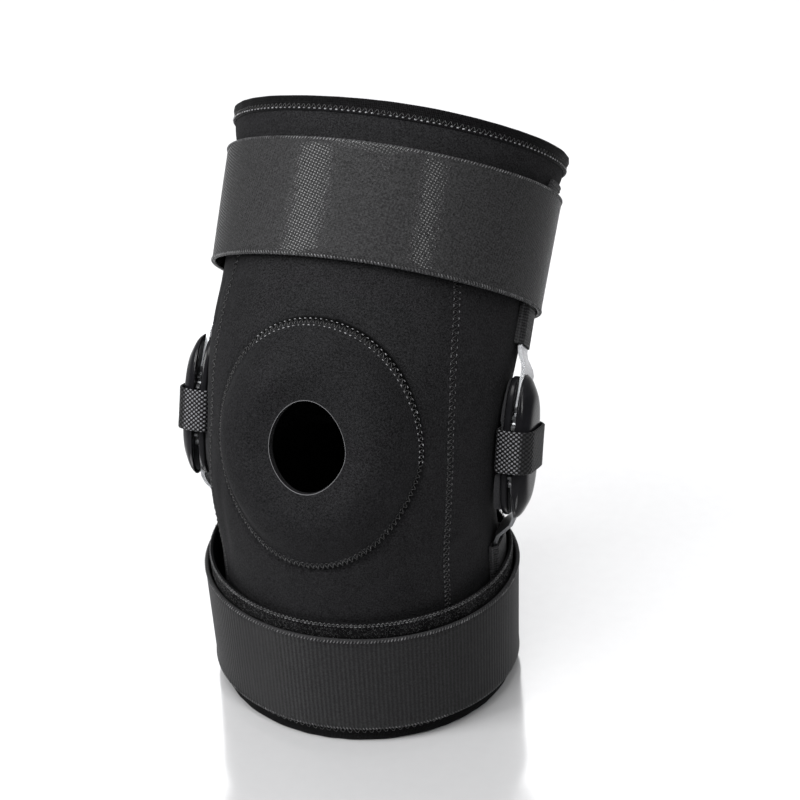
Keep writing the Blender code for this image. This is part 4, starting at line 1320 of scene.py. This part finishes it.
def make_pocket(side, which, body, reach, flip_x):
    """Webbing sewn down along both edges over a bar's blade, open towards the hinge."""
    shut_z, full_z, open_z = reach
    inwards = 1.0 if open_z > shut_z else -1.0
    a_mid, b_mid = sleeve_half(0.5 * (open_z + full_z))
    arc = POCKET_HALF_WIDTH / float(a_mid)
    centre = 0.5 * math.pi + math.asin(PIVOT_Y / float(b_mid))
    turn = np.linspace(-1.0, 1.0, 21)
    swell = 1.0 - smooth((np.abs(turn) * POCKET_HALF_WIDTH - 8.6) / 3.0)

    def section(z, inset):
        half = sleeve_half(z)
        share = 1.0 - inset / POCKET_HALF_WIDTH
        angle = centre + arc * turn * share
        full = smooth((z - shut_z) / (full_z - shut_z))
        thick = POCKET_HEM + (POCKET_THICK - POCKET_HEM) * full * swell
        far = round_leg(*half, angle, z, GAP + thick - inset)
        near = round_leg(*half, angle, z, GAP + inset * 0.6)
        marks = np.column_stack((
            np.full(21, z), turn * POCKET_HALF_WIDTH, POCKET_HALF_WIDTH * (1.0 - np.abs(turn)),
        ))
        return np.concatenate((far, near[::-1])), np.concatenate((marks, marks[::-1]))

    outside = [section(z, 0.0) for z in np.linspace(shut_z, open_z, 34)]
    inside = [section(z, POCKET_WALL) for z in np.linspace(open_z, full_z, 12)]
    rows = [points for points, _ in outside + inside]
    marks = [cloth for _, cloth in outside + inside]
    count = len(rows[0])
    faces = grid_faces(len(rows), count, closed_cols=True) + end_caps(len(rows), count)
    name = f"{side}_{which}_pocket"
    make_piece(name, np.concatenate(rows), faces, "pocket", body,
               cloth=np.concatenate(marks), stands_for=(name,), sharp=60.0, flip_x=flip_x)
    sign = -1.0 if flip_x else 1.0

    def at(angle, z, off):
        return round_leg(*sleeve_half(z), angle, z, GAP + POCKET_HEM + off) * (sign, 1.0, 1.0)

    ends = [(centre + edge * arc * 0.9) * MEAN_RADIUS for edge in (-1.0, 1.0)]
    lines = [((s, shut_z + inwards * 1.2), (s, open_z - inwards * 1.2)) for s in ends]
    lines.append([(s, shut_z + inwards * 2.0) for s in ends])
    paths = [running(line, 2.2, 0.72, at, body, 0.25) for line in lines]
    make_threads(f"{name}_stitches", np.concatenate(paths), 0.2, "thread", body)


def make_hinge(side):
    flip_x = side == "left"
    body = f"{side}_hinge"
    holes = [circle(pin, PIN_RADIUS + GAP) for pin in PIN_ZS]
    make_plate(f"{side}_inner_plate", oval(PLATE_HALF), holes, INNER_PLATE, "plate",
               body, flip_x, 1.2)
    smaller = (PLATE_HALF[0] - 0.8, PLATE_HALF[1] - 0.8)
    make_plate(f"{side}_outer_plate", oval(smaller), holes, OUTER_PLATE, "dark_steel",
               body, flip_x)
    make_cover(side, body, flip_x)
    make_condyle_pad(side, body, flip_x)
    make_keeper_loop(side, body, flip_x)
    make_pocket(side, "lower", "shin", LOWER_POCKET, flip_x)
    make_pocket(side, "upper", "thigh", UPPER_POCKET, flip_x)
    for kept in ("lower_bar", "upper_bar", "lower_rivet", "upper_rivet"):
        node = frame["nodes"][f"{side}_{kept}"]
        node.data.materials.clear()
        node.data.materials.append(LOOKS["steel" if kept.endswith("bar") else "dark_steel"])


# ---- Stage ----
def make_stage():
    bm = bmesh.new()
    bmesh.ops.create_grid(bm, x_segments=8, y_segments=8, size=6.0)
    mesh = bpy.data.meshes.new("floor")
    bm.to_mesh(mesh)
    bm.free()
    mesh.materials.append(make_floor_paint("floor_paint"))
    add_object("floor", mesh)


def add_light(name, place_at, aim, size, power):
    data = bpy.data.lights.new(name, "AREA")
    data.shape = "RECTANGLE"
    data.size, data.size_y = size
    data.energy = power
    light = add_object(name, data)
    light.location = place_at
    light.rotation_euler = (Vector(aim) - Vector(place_at)).to_track_quat("-Z", "Y").to_euler()


def make_world():
    """Studio surround: dark at the horizon, bright overhead and behind the table."""
    world = bpy.data.worlds.new("studio")
    bpy.context.scene.world = world
    world.use_nodes = True
    tree = world.node_tree
    background = tree.nodes["Background"]
    coordinates = tree.nodes.new("ShaderNodeTexCoord")
    glow = tree.nodes.new("ShaderNodeVectorMath")
    glow.operation = "DOT_PRODUCT"
    glow.inputs[1].default_value = (-0.1, 0.64, 0.76)
    tree.links.new(coordinates.outputs["Generated"], glow.inputs[0])
    level = tree.nodes.new("ShaderNodeMapRange")
    level.inputs["From Min"].default_value = 0.0
    level.inputs["From Max"].default_value = 0.95
    level.inputs["To Min"].default_value = 0.06
    level.inputs["To Max"].default_value = 1.1
    tree.links.new(glow.outputs["Value"], level.inputs["Value"])
    tree.links.new(level.outputs[0], background.inputs["Strength"])
    background.inputs["Color"].default_value = (1.0, 1.0, 1.0, 1.0)


def aim_from(azimuth, elevation, distance):
    """A point round the knee; azimuth is 0 in front and grows towards +X."""
    azimuth = math.radians(azimuth)
    elevation = math.radians(elevation)
    flat = distance * math.cos(elevation)
    height = distance * math.sin(elevation)
    return MIDDLE + Vector((flat * math.sin(azimuth), -flat * math.cos(azimuth), height))


def make_lights():
    add_light("key", aim_from(-51.0, 34.0, 1.8), MIDDLE, (0.6, 0.8), 40.0)
    add_light("right_window", aim_from(54.0, 33.0, 1.8), MIDDLE, (0.25, 0.8), 13.0)
    add_light("overhead", aim_from(-8.0, 68.0, 1.7), MIDDLE, (1.2, 0.8), 32.0)
    bpy.context.scene.view_settings.view_transform = "Standard"


def make_camera():
    azimuth = math.radians(21.08)
    elevation = math.radians(32.485)
    roll = math.radians(-4.014)
    distance = 1.7
    flat = math.cos(elevation)
    back = Vector((math.sin(azimuth) * flat, -math.cos(azimuth) * flat, math.sin(elevation)))
    right = Vector((math.cos(azimuth), math.sin(azimuth), 0.0))
    up = back.cross(right)
    x_axis = right * math.cos(roll) + up * math.sin(roll)
    y_axis = -right * math.sin(roll) + up * math.cos(roll)
    data = bpy.data.cameras.new("camera")
    data.sensor_width = 36.0
    data.lens = 149.0
    data.shift_x = 0.0557
    data.shift_y = 0.0340
    camera = add_object("camera", data)
    turn = Matrix((x_axis, y_axis, back)).transposed().to_4x4()
    camera.matrix_world = Matrix.Translation(MIDDLE + distance * back) @ turn
    bpy.context.scene.camera = camera


def main():
    make_sleeve_part("lower_sleeve", SLEEVE_EDGE, KNEE_Z, "lower_fabric",
                     ("calf_sleeve", "lower_knee_sleeve"))
    make_sleeve_part("upper_sleeve", KNEE_Z, SLEEVE_TOP - SLEEVE_EDGE, "upper_fabric",
                     ("thigh_sleeve", "upper_knee_sleeve"))
    make_seams()
    make_binding("bottom_binding", 0.0, 1.0, "shin")
    make_binding("top_binding", SLEEVE_TOP, -1.0, "thigh")
    make_pad()
    make_pad_stitches()
    make_band("upper_strap", UPPER_STRAP, UPPER_STRAP_RIM, WEBBING, "herringbone",
              "thigh")
    make_selvedges("upper_strap", UPPER_STRAP, UPPER_STRAP_RIM, "thigh")
    make_band("lower_strap", LOWER_STRAP, LOWER_STRAP_RIM, WEBBING, "rib", "shin")
    make_selvedges("lower_strap", LOWER_STRAP, LOWER_STRAP_RIM, "shin")
    make_tab("upper_strap_end", UPPER_STRAP, UPPER_STRAP_RIM, 1.0)
    make_tab("lower_strap_end", LOWER_STRAP, LOWER_STRAP_RIM, -1.0)
    make_band("calf_loop_band", LOOP_BAND, LOOP_BAND_RIM, BAND_THICK, "pile", "shin",
              bulge=0.0)
    make_fibres()
    make_band_edge()
    for side in ("left", "right"):
        make_hinge(side)
    make_stage()
    make_world()
    make_lights()
    make_camera()


main()
